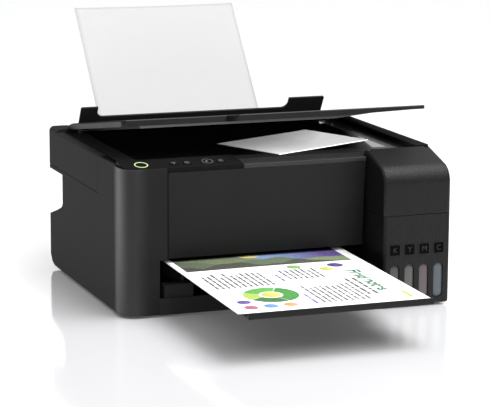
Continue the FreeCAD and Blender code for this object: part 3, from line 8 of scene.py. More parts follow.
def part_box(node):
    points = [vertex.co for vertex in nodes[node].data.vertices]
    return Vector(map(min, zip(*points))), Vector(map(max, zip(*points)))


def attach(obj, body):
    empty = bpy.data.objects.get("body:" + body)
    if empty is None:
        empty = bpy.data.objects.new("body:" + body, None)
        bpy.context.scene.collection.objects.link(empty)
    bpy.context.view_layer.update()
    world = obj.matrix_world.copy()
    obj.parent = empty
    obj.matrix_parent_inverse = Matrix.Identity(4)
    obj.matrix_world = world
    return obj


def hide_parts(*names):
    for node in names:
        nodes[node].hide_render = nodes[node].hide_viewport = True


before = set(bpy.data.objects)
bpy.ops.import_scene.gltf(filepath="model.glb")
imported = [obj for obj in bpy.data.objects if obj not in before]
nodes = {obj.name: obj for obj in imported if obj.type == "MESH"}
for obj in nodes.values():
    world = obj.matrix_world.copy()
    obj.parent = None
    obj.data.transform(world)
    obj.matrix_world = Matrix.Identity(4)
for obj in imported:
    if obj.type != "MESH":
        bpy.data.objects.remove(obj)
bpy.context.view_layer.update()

# An inkjet printer with refillable tanks, dressed around its CAD frame. Metres, X right, Y back, Z up.

MM = 0.001

# camera, as a pinhole fitted to the photograph

PHOTO_WIDTH = 491
FOCAL_PIXELS = 2163.56
SENSOR = 36.0
CAMERA_PLACE = np.array([-0.8795, -2.3103, 0.5828])
YAW, PITCH, ROLL = np.radians([20.58, 10.95, 0.28])


def camera_axes():
    """Right, up and backward directions from yaw about Z, pitch downwards and roll about the view line."""
    ahead = np.array([np.sin(YAW) * np.cos(PITCH), np.cos(YAW) * np.cos(PITCH), -np.sin(PITCH)])
    level = np.array([np.cos(YAW), -np.sin(YAW), 0.0])
    over = np.cross(level, ahead)
    right = np.cos(ROLL) * level + np.sin(ROLL) * over
    up = np.cos(ROLL) * over - np.sin(ROLL) * level
    return right, up, -ahead


def make_camera():
    """The camera at the photograph's viewing angle."""
    data = bpy.data.cameras.new("camera")
    data.sensor_width = SENSOR
    data.lens = SENSOR * FOCAL_PIXELS / PHOTO_WIDTH
    data.clip_end = 50
    camera = bpy.data.objects.new("camera", data)
    bpy.context.collection.objects.link(camera)
    turn = np.eye(4)
    turn[:3, :3] = np.stack(camera_axes(), axis=1)
    turn[:3, 3] = CAMERA_PLACE
    camera.matrix_world = Matrix(turn.tolist())
    bpy.context.scene.camera = camera


make_camera()

# meshes from arrays


def surface(name, points, wrap=(False, False), paint=None, smooth=True, cap=False):
    """A mesh from a grid of points P(i, j): one four-sided face between each point and its next neighbours.

    wrap joins the last row or column to the first, paint is a colour for each point,
    and cap closes the first row."""
    rows, columns = points.shape[:2]
    index = np.arange(rows * columns).reshape(rows, columns)
    down = np.roll(index, -1, axis=0)
    along = np.roll(index, -1, axis=1)
    both = np.roll(down, -1, axis=1)
    faces = np.stack([index, down, both, along], axis=-1)
    faces = faces[: rows if wrap[0] else rows - 1, : columns if wrap[1] else columns - 1]
    faces = faces.reshape(-1, 4).tolist()
    if cap:
        faces.append(index[0].tolist())
    return shell(name, points.reshape(-1, 3), faces, paint, smooth)


def shell(name, points, faces, paint=None, smooth=False):
    """A mesh object from an array of points and an array of faces."""
    mesh = bpy.data.meshes.new(name)
    mesh.from_pydata(points.tolist(), [], [list(face) for face in faces])
    if paint is not None:
        layer = mesh.color_attributes.new("paint", "FLOAT_COLOR", "POINT")
        colour = np.ones((len(points), 4), dtype=np.float32)
        colour[:, :3] = np.asarray(paint).reshape(-1, 3)
        layer.data.foreach_set("color", colour.ravel())
    mesh.polygons.foreach_set("use_smooth", np.full(len(mesh.polygons), smooth))
    mesh.update()
    piece = bpy.data.objects.new(name, mesh)
    bpy.context.collection.objects.link(piece)
    return piece


def dress(piece, material, body):
    """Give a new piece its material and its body."""
    piece.data.materials.append(material)
    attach(piece, body)
    return piece


def thicken(piece, thickness):
    """Give a sheet its thickness, half to each side."""
    made = piece.modifiers.new("thickness", "SOLIDIFY")
    made.thickness = thickness
    made.offset = 0


def lettering(name, words, size, depth, weight=0.0):
    """A mesh of letters standing on their own middle, facing up, as deep on each side as given."""
    text = bpy.data.curves.new(name, "FONT")
    text.body = words
    text.size = size
    text.extrude = depth
    text.offset = weight
    text.align_x = "CENTER"
    text.align_y = "CENTER"
    draft = bpy.data.objects.new("draft", text)
    mesh = bpy.data.meshes.new_from_object(draft)
    bpy.data.objects.remove(draft)
    return mesh


# shader groups


def shader_group(name, inputs, outputs):
    """An empty shader group with named float inputs and outputs."""
    tree = bpy.data.node_groups.new(name, "ShaderNodeTree")
    for label, value in inputs.items():
        socket = tree.interface.new_socket(label, in_out="INPUT", socket_type="NodeSocketFloat")
        socket.default_value = value
    for label in outputs:
        tree.interface.new_socket(label, in_out="OUTPUT", socket_type="NodeSocketFloat")
    into = tree.nodes.new("NodeGroupInput")
    out = tree.nodes.new("NodeGroupOutput")
    place = tree.nodes.new("ShaderNodeTexCoord")
    return tree, into, out, place


def ranged(tree, source, low, high):
    """The source value from 0 to 1 moved to low to high."""
    node = tree.nodes.new("ShaderNodeMapRange")
    node.inputs["To Min"].default_value = low
    node.inputs["To Max"].default_value = high
    tree.links.new(source, node.inputs["Value"])
    return node.outputs["Result"]


def noise(tree, place, scale, detail, stretch=None):
    """A noise texture on object coordinates, with its scale from a socket or a number."""
    node = tree.nodes.new("ShaderNodeTexNoise")
    node.inputs["Detail"].default_value = detail
    if stretch:
        mapping = tree.nodes.new("ShaderNodeMapping")
        mapping.inputs["Scale"].default_value = stretch
        tree.links.new(place, mapping.inputs["Vector"])
        place = mapping.outputs["Vector"]
    tree.links.new(place, node.inputs["Vector"])
    if isinstance(scale, (int, float)):
        node.inputs["Scale"].default_value = scale
    else:
        tree.links.new(scale, node.inputs["Scale"])
    return node.outputs["Fac"]


def moulded_grain():
    """The fine grain of moulded plastic, and slow patches."""
    tree, into, out, place = shader_group(
        "moulded_grain", {"Grains per metre": 1800, "Patches per metre": 9}, ("Height", "Patch")
    )
    coarse = noise(tree, place.outputs["Object"], into.outputs["Grains per metre"], 2)
    cells = tree.nodes.new("ShaderNodeTexVoronoi")
    cells.feature = "SMOOTH_F1"
    tree.links.new(place.outputs["Object"], cells.inputs["Vector"])
    tree.links.new(into.outputs["Grains per metre"], cells.inputs["Scale"])
    blend = tree.nodes.new("ShaderNodeMath")
    blend.operation = "MULTIPLY_ADD"
    blend.inputs[1].default_value = 0.5
    tree.links.new(cells.outputs["Distance"], blend.inputs[0])
    tree.links.new(coarse, blend.inputs[2])
    tree.links.new(blend.outputs["Value"], out.inputs["Height"])
    patch = noise(tree, place.outputs["Object"], into.outputs["Patches per metre"], 4)
    tree.links.new(patch, out.inputs["Patch"])
    return tree


def moulded_ribs():
    """Fine upright ribs moulded into a face, as a sine wave along x on the grain, and slow patches."""
    tree, into, out, place = shader_group("moulded_ribs", {"Ribs per metre": 450}, ("Height", "Patch"))
    wave = tree.nodes.new("ShaderNodeTexWave")
    wave.bands_direction = "X"
    wave.wave_profile = "SIN"
    wave.inputs["Distortion"].default_value = 0.0
    pitch = tree.nodes.new("ShaderNodeMath")
    pitch.operation = "MULTIPLY"
    pitch.inputs[1].default_value = math.pi / 10
    tree.links.new(into.outputs["Ribs per metre"], pitch.inputs[0])
    tree.links.new(place.outputs["Object"], wave.inputs["Vector"])
    tree.links.new(pitch.outputs["Value"], wave.inputs["Scale"])
    grain = noise(tree, place.outputs["Object"], 1700, 2)
    blend = tree.nodes.new("ShaderNodeMath")
    blend.operation = "MULTIPLY_ADD"
    blend.inputs[1].default_value = 0.6
    tree.links.new(wave.outputs["Fac"], blend.inputs[0])
    tree.links.new(grain, blend.inputs[2])
    tree.links.new(blend.outputs["Value"], out.inputs["Height"])
    tree.links.new(noise(tree, place.outputs["Object"], 9, 4), out.inputs["Patch"])
    return tree


def paper_fibre():
    """Fibres lying in a sheet of paper, as height and as a faint mottling."""
    tree, into, out, place = shader_group("paper_fibre", {"Fibres per metre": 700}, ("Height", "Mottle"))
    fine = noise(tree, place.outputs["Object"], into.outputs["Fibres per metre"], 5, (1, 0.35, 1))
    broad = noise(tree, place.outputs["Object"], 60, 3)
    tree.links.new(fine, out.inputs["Height"])
    tree.links.new(broad, out.inputs["Mottle"])
    return tree


def drawn_lines():
    """Lines left along X by rolling or turning metal."""
    tree, into, out, place = shader_group("drawn_lines", {"Lines per metre": 900}, ("Height", "Streak"))
    lines = noise(tree, place.outputs["Object"], into.outputs["Lines per metre"], 3, (0.02, 1, 1))
    streak = noise(tree, place.outputs["Object"], 40, 3, (0.1, 1, 1))
    tree.links.new(lines, out.inputs["Height"])
    tree.links.new(streak, out.inputs["Streak"])
    return tree


GRAIN = moulded_grain()
RIBS = moulded_ribs()
FIBRE = paper_fibre()
LINES = drawn_lines()

# materials


def finish(name, texture, settings, colours, rough, bump, level, metallic=0.0):
    """A Principled material: colours and roughness run between two values with the texture's slow output,
    and its height gives the bump."""
    material = bpy.data.materials.new(name)
    material.use_nodes = True
    tree = material.node_tree
    shader = tree.nodes["Principled BSDF"]
    detail = tree.nodes.new("ShaderNodeGroup")
    detail.node_tree = texture
    for label, value in settings.items():
        detail.inputs[label].default_value = value
    height, slow = detail.outputs[0], detail.outputs[1]
    spread = ranged(tree, slow, -0.6, 1.6)
    mix = tree.nodes.new("ShaderNodeMix")
    mix.data_type = "RGBA"
    mix.inputs["A"].default_value = (*colours[0], 1)
    mix.inputs["B"].default_value = (*colours[1], 1)
    tree.links.new(spread, mix.inputs["Factor"])
    tree.links.new(mix.outputs["Result"], shader.inputs["Base Color"])
    tree.links.new(ranged(tree, spread, *rough), shader.inputs["Roughness"])
    relief = tree.nodes.new("ShaderNodeBump")
    relief.inputs["Strength"].default_value = bump[0]
    relief.inputs["Distance"].default_value = bump[1]
    tree.links.new(height, relief.inputs["Height"])
    tree.links.new(relief.outputs["Normal"], shader.inputs["Normal"])
    shader.inputs["Specular IOR Level"].default_value = level
    shader.inputs["Metallic"].default_value = metallic
    return material


def grey(value):
    """A grey with a trace of blue."""
    return (value, value, value * 1.02)


COARSE = {"Grains per metre": 1700, "Patches per metre": 9}
FINE = {"Grains per metre": 3200, "Patches per metre": 14}
SMOOTH = {"Grains per metre": 900, "Patches per metre": 22}

case_plastic = finish(
    "case_plastic", GRAIN, COARSE, (grey(0.009), grey(0.012)), (0.40, 0.48), (0.35, 0.00012), 0.18
)
ribbed_plastic = finish(
    "ribbed_plastic", RIBS, {"Ribs per metre": 450}, (grey(0.0062), grey(0.0084)), (0.34, 0.42),
    (0.8, 0.0004), 0.24,
)
rim_plastic = finish(
    "rim_plastic", GRAIN, COARSE, (grey(0.0105), grey(0.013)), (0.42, 0.5), (0.35, 0.00012), 0.03
)
# The feeder guard wears a lighter copy of the case's black plastic: painted light, for a face that would
# otherwise fall too dark.
lightened_guard_plastic = finish(
    "lightened_guard_plastic", GRAIN, COARSE, (grey(0.026), grey(0.032)), (0.45, 0.55), (0.3, 0.00012), 0.05
)
# The left case, its upper cover and the base pan wear a lighter copy of the case's black plastic with almost
# no gloss: its lighter colour is painted light, for the brighter left side and the shaded slot block.
SIDE_LEVEL = 0.006
lightened_side_plastic = finish(
    "lightened_side_plastic", GRAIN, COARSE, (grey(0.02), grey(0.025)), (0.46, 0.54), (0.35, 0.00012), SIDE_LEVEL
)


def polish_corner(material, first, last, level):
    """Raise the gloss at the case's front left corner, so that it takes the photograph's highlight.

    The level rises from the side's own to the one given as x + y falls from last to first."""
    tree = material.node_tree
    place = tree.nodes.new("ShaderNodeTexCoord")
    parts = tree.nodes.new("ShaderNodeSeparateXYZ")
    total = tree.nodes.new("ShaderNodeMath")
    reach = tree.nodes.new("ShaderNodeMapRange")
    reach.interpolation_type = "SMOOTHSTEP"
    for label, value in (("From Min", last), ("From Max", first), ("To Min", SIDE_LEVEL), ("To Max", level)):
        reach.inputs[label].default_value = value
    tree.links.new(place.outputs["Object"], parts.inputs["Vector"])
    tree.links.new(parts.outputs["X"], total.inputs[0])
    tree.links.new(parts.outputs["Y"], total.inputs[1])
    tree.links.new(total.outputs["Value"], reach.inputs["Value"])
    tree.links.new(reach.outputs["Result"], tree.nodes["Principled BSDF"].inputs["Specular IOR Level"])


polish_corner(lightened_side_plastic, -0.257, -0.238, 0.28)

lid_plastic = finish(
    "lid_plastic", GRAIN, COARSE, (grey(0.0095), grey(0.0125)), (0.38, 0.48), (0.35, 0.00012), 0.28
)
gloss_plastic = finish(
    "gloss_plastic", GRAIN, SMOOTH, (grey(0.008), grey(0.011)), (0.09, 0.2), (0.04, 0.0001), 0.012
)
trim_plastic = finish(
    "trim_plastic", GRAIN, FINE, (grey(0.02), grey(0.027)), (0.3, 0.4), (0.2, 0.0001), 0.35
)
inner_plastic = finish(
    "inner_plastic", GRAIN, FINE, (grey(0.012), grey(0.018)), (0.5, 0.62), (0.3, 0.0001), 0.25
)
cap_plastic = finish(
    "cap_plastic", GRAIN, FINE, (grey(0.03), grey(0.045)), (0.45, 0.55), (0.3, 0.0001), 0.3
)
button_plastic = finish(
    "button_plastic", GRAIN, SMOOTH, (grey(0.006), grey(0.009)), (0.16, 0.26), (0.05, 0.0001), 0.35
)
rubber = finish("rubber", GRAIN, FINE, (grey(0.012), grey(0.02)), (0.75, 0.9), (0.5, 0.0001), 0.2)
board_lacquer = finish(
    "board_lacquer", GRAIN, SMOOTH, ((0.01, 0.07, 0.03), (0.02, 0.1, 0.045)), (0.25, 0.4), (0.2, 0.0001), 0.4
)
steel = finish(
    "steel", LINES, {"Lines per metre": 900}, (grey(0.42), grey(0.55)), (0.28, 0.42), (0.15, 0.0001), 0.5, 1.0
)
plated = finish(
    "plated", LINES, {"Lines per metre": 1400}, (grey(0.5), grey(0.6)), (0.2, 0.34), (0.1, 0.0001), 0.5, 1.0
)
brass = finish(
    "brass", LINES, {"Lines per metre": 1600}, ((0.6, 0.42, 0.14), (0.7, 0.5, 0.2)), (0.22, 0.34),
    (0.1, 0.0001), 0.5, 1.0,
)
paper = finish(
    "paper", FIBRE, {"Fibres per metre": 700}, ((0.90, 0.90, 0.90), (0.912, 0.912, 0.912)), (0.78, 0.85),
    (0.06, 0.00005), 0.2,
)
card_paper = finish(
    "card_paper", FIBRE, {"Fibres per metre": 500}, ((0.74, 0.74, 0.74), (0.78, 0.78, 0.78)), (0.4, 0.5),
    (0.1, 0.00005), 0.35,
)
TINTS = {
    "black": ((0.060, 0.060, 0.062), (0.080, 0.079, 0.081)),
    "yellow": ((0.100, 0.095, 0.088), (0.125, 0.118, 0.108)),
    "magenta": ((0.105, 0.082, 0.092), (0.128, 0.104, 0.114)),
    "cyan": ((0.080, 0.096, 0.107), (0.100, 0.120, 0.132)),
}
inks = {
    ink: finish(f"{ink}_ink", GRAIN, SMOOTH, tint, (0.3, 0.42), (0.1, 0.0001), 0.4)
    for ink, tint in TINTS.items()
}

# the scanner's glass over its dark bed, made as a near black gloss
bed_glass = finish(
    "bed_glass", GRAIN, SMOOTH, (grey(0.003), grey(0.005)), (0.03, 0.07), (0.02, 0.0001), 0.5
)


def printed_ink():
    """Ink on paper: the colour comes from the piece's own paint attribute, broken a little by the fibres."""
    material = bpy.data.materials.new("printed_ink")
    material.use_nodes = True
    tree = material.node_tree
    shader = tree.nodes["Principled BSDF"]
    layer = tree.nodes.new("ShaderNodeVertexColor")
    layer.layer_name = "paint"
    detail = tree.nodes.new("ShaderNodeGroup")
    detail.node_tree = FIBRE
    mix = tree.nodes.new("ShaderNodeMix")
    mix.data_type = "RGBA"
    mix.inputs["B"].default_value = (0.88, 0.88, 0.885, 1)
    tree.links.new(ranged(tree, detail.outputs["Height"], -0.12, 0.2), mix.inputs["Factor"])
    tree.links.new(layer.outputs["Color"], mix.inputs["A"])
    tree.links.new(mix.outputs["Result"], shader.inputs["Base Color"])
    tree.links.new(ranged(tree, detail.outputs["Mottle"], 0.5, 0.7), shader.inputs["Roughness"])
    shader.inputs["Specular IOR Level"].default_value = 0.25
    return material


printed = printed_ink()


def lit_mark(name, colour, strength):
    """A lamp behind a thin plastic line, glowing a little unevenly."""
    material = finish(
        name, GRAIN, SMOOTH, (tuple(0.5 * c for c in colour), tuple(0.6 * c for c in colour)), (0.3, 0.4),
        (0.05, 0.0001), 0.4,
    )
    tree = material.node_tree
    shader = tree.nodes["Principled BSDF"]
    detail = [n for n in tree.nodes if n.type == "GROUP"][0]
    mix = tree.nodes.new("ShaderNodeMix")
    mix.data_type = "RGBA"
    mix.inputs["A"].default_value = (*[0.85 * c for c in colour], 1)
    mix.inputs["B"].default_value = (*colour, 1)
    tree.links.new(detail.outputs["Patch"], mix.inputs["Factor"])
    tree.links.new(mix.outputs["Result"], shader.inputs["Emission Color"])
    shader.inputs["Emission Strength"].default_value = strength
    return material


power_glow = lit_mark("power_glow", (0.55, 0.72, 0.33), 0.75)
mark_paint = finish(
    "mark_paint", GRAIN, SMOOTH, ((0.10, 0.11, 0.13), (0.13, 0.14, 0.16)), (0.3, 0.4), (0.05, 0.0001), 0.4
)
# Dark paint of the ink labels, also worn by the gap strips as painted shade.
label_and_gap_shade_paint = finish(
    "label_and_gap_shade_paint", GRAIN, SMOOTH, (grey(0.003), grey(0.0045)), (0.3, 0.4), (0.05, 0.0001), 0.02
)
letter_paint = finish(
    "letter_paint", GRAIN, SMOOTH, (grey(0.03), grey(0.038)), (0.4, 0.5), (0.05, 0.0001), 0.2
)

# finishes of the CAD nodes

FINISHES = {
    case_plastic: (
        "front_panel rear_case feeder_housing paper_support edge_guide hopper_plate output_tray "
        "tray_extension"
    ),
    ribbed_plastic: "tank_case tank_cover",
    rim_plastic: "right_case",
    lightened_guard_plastic: "feeder_guard",
    lightened_side_plastic: "left_case left_upper_cover base_pan",
    lid_plastic: "document_lid",
    gloss_plastic: "control_panel scanner_bezel",
    trim_plastic: "front_trim",
    button_plastic: "power_button network_button status_button mono_copy_button colour_copy_button",
    inner_plastic: (
        "scanner_tub platen print_carriage capping_station sensor_bar drive_gear lid_pad power_supply "
        "ac_inlet ink_tubes"
    ),
    cap_plastic: "black_cap yellow_cap magenta_cap cyan_cap",
    rubber: "rubber_feet feed_roller exit_roller pickup_roller timing_belt",
    steel: "main_frame carriage_rail case_screws",
    plated: "feed_motor carriage_motor print_head",
    brass: "drive_pulley idler_pulley",
    bed_glass: "scanner_glass",
    paper: "printed_page blank_sheet",
    card_paper: "photo_card",
    board_lacquer: "logic_board",
    inks["black"]: "black_tank",
    inks["yellow"]: "yellow_tank",
    inks["magenta"]: "magenta_tank",
    inks["cyan"]: "cyan_tank",
}
for material, names in FINISHES.items():
    for name in names.split():
        for place in nodes[name].material_slots:
            place.material = material


def soften(name, width):
    """Round a CAD node's sharp edges for the light to catch, with its shape kept."""
    node = nodes[name]
    weld = node.modifiers.new("merge", "WELD")
    weld.merge_threshold = 0.00001
    flat = node.modifiers.new("flat faces", "DECIMATE")
    flat.decimate_type = "DISSOLVE"
    flat.angle_limit = math.radians(0.5)
    edge = node.modifiers.new("soft edges", "BEVEL")
    edge.width = width
    edge.segments = 2
    edge.limit_method = "ANGLE"
    edge.angle_limit = math.radians(35)
    edge.harden_normals = False


for name in (
    "left_case left_upper_cover front_panel control_panel front_trim right_case tank_case tank_cover "
    "document_lid feeder_guard tray_extension output_tray"
).split():
    soften(name, 0.8 * MM)

# paper


def grid(rows, columns):
    """Two arrays from 0 to 1, down the rows and across the columns."""
    return np.meshgrid(np.linspace(0, 1, rows), np.linspace(0, 1, columns), indexing="ij")


SHEET_TILT = math.radians(39)
SHEET_LENGTH = 0.297
SHEET_THICKNESS = 0.5 * MM
SHEET_BOW = 1.6 * MM


def standing_sheet():
    """The blank sheet: a plane on the feed slope, bowed back by sin(pi u) v^2 towards its free top."""
    low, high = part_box("blank_sheet")
    v, u = grid(61, 31)
    up = np.array([0, math.sin(SHEET_TILT), math.cos(SHEET_TILT)])
    behind = np.array([0, math.cos(SHEET_TILT), -math.sin(SHEET_TILT)])
    corner = np.array([low[0], low[1], low[2] + SHEET_THICKNESS * math.sin(SHEET_TILT)])
    bow = SHEET_THICKNESS / 2 + SHEET_BOW * np.sin(np.pi * u) * v**2
    points = (
        corner
        + (u * (high[0] - low[0]))[..., None] * np.array([1, 0, 0])
        + (v * SHEET_LENGTH)[..., None] * up
        + bow[..., None] * behind
    )
    piece = surface("standing_sheet", points[::-1])
    thicken(piece, SHEET_THICKNESS / 2)
    dress(piece, paper, "sheet")
    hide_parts("blank_sheet")
    return piece


sheet = standing_sheet()

page_low, page_high = (np.array(corner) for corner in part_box("printed_page"))
PAGE_RISE = 5.9 * MM
PAGE_THICKNESS = 0.4 * MM
PAGE_CROWN = 0.7 * MM


def on_page(across, along, lift=0.0):
    """Points of the page's top: across and along it from its front left corner in millimetres.

    The page rises evenly to the rear and is crowned by sin(pi u) sin(pi v)."""
    size = page_high - page_low
    u = across * MM / size[0]
    v = along * MM / size[1]
    x = page_low[0] + across * MM
    y = page_low[1] + along * MM
    crown = PAGE_CROWN * np.sin(np.pi * u) * np.sin(np.pi * v)
    z = page_low[2] + PAGE_THICKNESS / 2 + PAGE_RISE * v + crown + lift
    return np.stack([x, y, z], axis=-1)


PAGE_WIDTH, PAGE_LENGTH = (page_high - page_low)[:2] / MM
PRINT_LIFT = 0.16 * MM
PRINT_THICKNESS = 0.04 * MM


def lying_page():
    """The printed page lying on the tray."""
    v, u = grid(57, 45)
    piece = surface("lying_page", on_page(u * PAGE_WIDTH, v * PAGE_LENGTH)[:, ::-1])
    thicken(piece, PAGE_THICKNESS / 2)
    dress(piece, paper, "page")
    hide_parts("printed_page")
    return piece


page = lying_page()


def text_lines():
    """Blocks of words: each word is a bar, its length drawn from a seeded range, set line by line.

    A block gives its lines' first and last place across the page, their start and end along it,
    the pitch and height of the lines and their colour. Lines run along the page."""
    draw = np.random.default_rng(7)
    ink = (0.06, 0.06, 0.07)
    blocks = [
        (14, 82, 100, 172, 6.4, 2.8, ink),
        (102, 158, 16, 98, 6.4, 2.8, ink),
        (104, 146, 116, 172, 6.4, 2.8, ink),
        (160, 172, 34, 120, 9.0, 3.6, (0.05, 0.05, 0.06)),
        (93, 97, 14, 74, 8.2, 3.0, (0.16, 0.08, 0.30)),
        (94, 98, 112, 164, 8.2, 3.0, (0.16, 0.08, 0.30)),
        (198, 203, 10, 64, 9.0, 4.4, (0.42, 0.52, 0.08)),
    ]
    corners = []
    colours = []
    for first, last, start, end, pitch, height, colour in blocks:
        lines = np.arange(first, last, pitch)
        lengths = draw.uniform(2.2, 9.5, (len(lines), 40)) * height / 1.5
        gaps = 0.55 * height
        ends = np.cumsum(lengths + gaps, axis=1) - gaps + start
        starts = ends - lengths
        row = np.broadcast_to(lines[:, None], starts.shape)
        limit = (end - draw.uniform(0, 0.25 * (end - start), len(lines)))[:, None]
        kept = ends < np.broadcast_to(limit, ends.shape)
        low, high, side = starts[kept], ends[kept], row[kept]
        across = np.stack([side, side + height, side + height, side], axis=-1)
        along = np.stack([low, low, high, high], axis=-1)
        corners.append(on_page(across, along, PRINT_LIFT))
        colours.append(np.broadcast_to(colour, (len(low) * 4, 3)))
    points = np.concatenate([c.reshape(-1, 3) for c in corners])
    faces = np.arange(len(points)).reshape(-1, 4)
    piece = shell("page_words", points, faces, np.concatenate(colours))
    thicken(piece, PRINT_THICKNESS)
    dress(piece, printed, "page")


text_lines()


def page_heading(words, size, across, along, colour):
    """A heading that reads towards the page's front edge: its letters' points are laid on the page's top."""
    mesh = lettering("page_heading", words, size, PRINT_THICKNESS / 2, HEADING_WEIGHT)
    places = np.empty(len(mesh.vertices) * 3)
    mesh.vertices.foreach_get("co", places)
    x, y, z = places.reshape(-1, 3).T
    laid = on_page(across + y / MM, along - x / MM, PRINT_LIFT + z)
    mesh.vertices.foreach_set("co", laid.ravel())
    layer = mesh.color_attributes.new("paint", "FLOAT_COLOR", "POINT")
    layer.data.foreach_set("color", np.tile(np.array((*colour, 1), dtype=np.float32), len(mesh.vertices)))
    mesh.update()
    piece = bpy.data.objects.new("page_heading", mesh)
    bpy.context.collection.objects.link(piece)
    dress(piece, printed, "page")


HEADING_WEIGHT = 0.8 * MM
page_heading("Field notes", 21 * MM, 184, 92, (0.012, 0.15, 0.055))


def picture_strip():
    """A band of rolling hills under an evening sky: each hill line is a sum of two sines across the band,
    and the colours run from olive through blue to violet."""
    v, u = grid(70, 170)
    across = 8 + u * 196
    along = 182 + v * 84
    olive = np.array([0.055, 0.062, 0.028])
    blue = np.array([0.20, 0.33, 0.52])
    violet = np.array([0.10, 0.055, 0.25])
    sky = np.where(
        (u < 0.55)[..., None],
        olive + (blue - olive) * np.clip(u / 0.55, 0, 1)[..., None],
        blue + (violet - blue) * np.clip((u - 0.55) / 0.35, 0, 1)[..., None],
    )
    paint = sky * (0.75 + 0.5 * v)[..., None]
    hills = (
        (0.62, 0.16, 2.1, 0.4, (0.16, 0.20, 0.10)),
        (0.42, 0.14, 3.3, 1.9, (0.10, 0.13, 0.07)),
        (0.24, 0.10, 4.9, 3.1, (0.045, 0.05, 0.03)),
    )
    for height, swing, waves, phase, colour in hills:
        edge = height * (1.1 - 0.75 * u) + swing * np.sin(2 * np.pi * waves * u / 2 + phase)
        edge += 0.3 * swing * np.sin(5 * np.pi * waves * u / 2 + 2 * phase)
        paint = np.where((v < edge)[..., None], np.array(colour) * (0.8 + 0.5 * u)[..., None], paint)
    sun = (u - 0.46) ** 2 * 5.4 + (v - 0.62) ** 2 < 0.02
    paint = np.where(sun[..., None], np.array([0.75, 0.62, 0.22]), paint)
    piece = surface("page_picture", on_page(across, along, PRINT_LIFT)[:, ::-1], paint=paint[:, ::-1])
    thicken(piece, PRINT_THICKNESS)
    dress(piece, printed, "page")


picture_strip()


def sectors(name, shapes, place):
    """Flat ring sectors as one mesh: middle plus r (cos a, sin a), r and a running between their limits,
    laid on a surface by place(across, along). A shape may end with the colour of its paint."""
    points = []
    faces = []
    colours = []
    count = 0
    for middle, radii, angles, *colour in shapes:
        whole = angles[1] - angles[0] == 360
        inner = max(radii[0], 0.02 * radii[1])
        turns = np.radians(np.linspace(*angles, 40, endpoint=not whole))
        r, a = np.meshgrid(np.linspace(inner, radii[1], 6), turns, indexing="ij")
        index = count + np.arange(r.size).reshape(r.shape)
        after = np.roll(index, -1, axis=1)
        quads = np.stack([index[:-1], index[1:], after[1:], after[:-1]], axis=-1)
        quads = quads if whole else quads[:, :-1]
        points.append(place(middle[0] + r * np.cos(a), middle[1] + r * np.sin(a)).reshape(-1, 3))
        faces.append(quads.reshape(-1, 4))
        if colour:
            shade = 0.8 + 0.2 * np.cos(a / 2) ** 2
            colours.append((np.array(colour[0]) * shade[..., None]).reshape(-1, 3))
        count += r.size
    paint = np.concatenate(colours) if colours else None
    return shell(name, np.concatenate(points), np.concatenate(faces), paint)


def page_chart():
    """A ring chart in greens round a yellow middle, and small round markers."""
    shares = [
        ((60, 62), (13, 30), (-70, 60), (0.05, 0.26, 0.04)),
        ((60, 62), (13, 30), (62, 150), (0.11, 0.42, 0.06)),
        ((60, 62), (13, 30), (152, 205), (0.45, 0.62, 0.08)),
        ((60, 62), (13, 30), (207, 288), (0.03, 0.17, 0.04)),
        ((60, 62), (0, 10.5), (0, 360), (0.62, 0.60, 0.10)),
        ((22, 20), (0, 7.5), (0, 360), (0.42, 0.13, 0.20)),
        ((44, 20), (0, 7.5), (0, 360), (0.13, 0.30, 0.58)),
        ((66, 20), (0, 7.5), (0, 360), (0.66, 0.34, 0.13)),
        ((22, 42), (0, 7.5), (0, 360), (0.13, 0.08, 0.32)),
        ((176, 164), (0, 9), (0, 360), (0.06, 0.035, 0.22)),
        ((160, 150), (0, 8), (0, 360), (0.56, 0.56, 0.11)),
        ((128, 168), (0, 8), (0, 360), (0.24, 0.42, 0.13)),
    ]
    piece = sectors("page_chart", shares, lambda across, along: on_page(across, along, PRINT_LIFT))
    thicken(piece, PRINT_THICKNESS)
    dress(piece, printed, "page")


page_chart()

# marks on the controls

KEY_TILT = math.radians(13)
KEY_ACROSS = np.array([1, 0, 0])
KEY_UP = np.array([0, math.cos(KEY_TILT), math.sin(KEY_TILT)])
KEY_OUT = np.array([0, -math.sin(KEY_TILT), math.cos(KEY_TILT)])


def on_key(button, across, up, out):
    """Points over a button's tilted face, measured from its middle: across it, up it and out of it.

    The button is a rod of radius r and length h, so its box is h cos t + 2 r sin t high."""
    low, high = (np.array(corner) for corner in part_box(button))
    wide, _, tall = high - low
    length = (tall - wide * math.sin(KEY_TILT)) / math.cos(KEY_TILT)
    middle = (low + high) / 2 + length / 2 * KEY_OUT
    return middle + across[..., None] * KEY_ACROSS + up[..., None] * KEY_UP + out[..., None] * KEY_OUT


def ring_mark(name, button, radius, tube, material):
    """A raised line round a button: a tube R + r cos b turned about its middle, half as high as wide."""
    around = np.linspace(0, 2 * np.pi, 64, endpoint=False)
    across = np.linspace(0, 2 * np.pi, 12, endpoint=False)
    a, b = np.meshgrid(around, across, indexing="ij")
    reach = radius + tube * np.cos(b)
    points = on_key(button, reach * np.cos(a), reach * np.sin(a), 0.5 * tube * np.sin(b))
    piece = surface(name, points, wrap=(True, True))
    return dress(piece, material, button)


ring_mark("power_ring", "power_button", 7.15 * MM, 0.7 * MM, power_glow)


MARK_LIFT = 0.07 * MM
MARK_THICKNESS = 0.06 * MM


def flat_marks(name, button, shapes, material):
    """Small printed strokes on a button: ring sectors, given as middle, radii and angles in millimetres."""

    def place(across, along):
        return on_key(button, across * MM, along * MM, np.full(across.shape, MARK_LIFT))

    piece = sectors(name, shapes, place)
    thicken(piece, MARK_THICKNESS)
    return dress(piece, material, button)


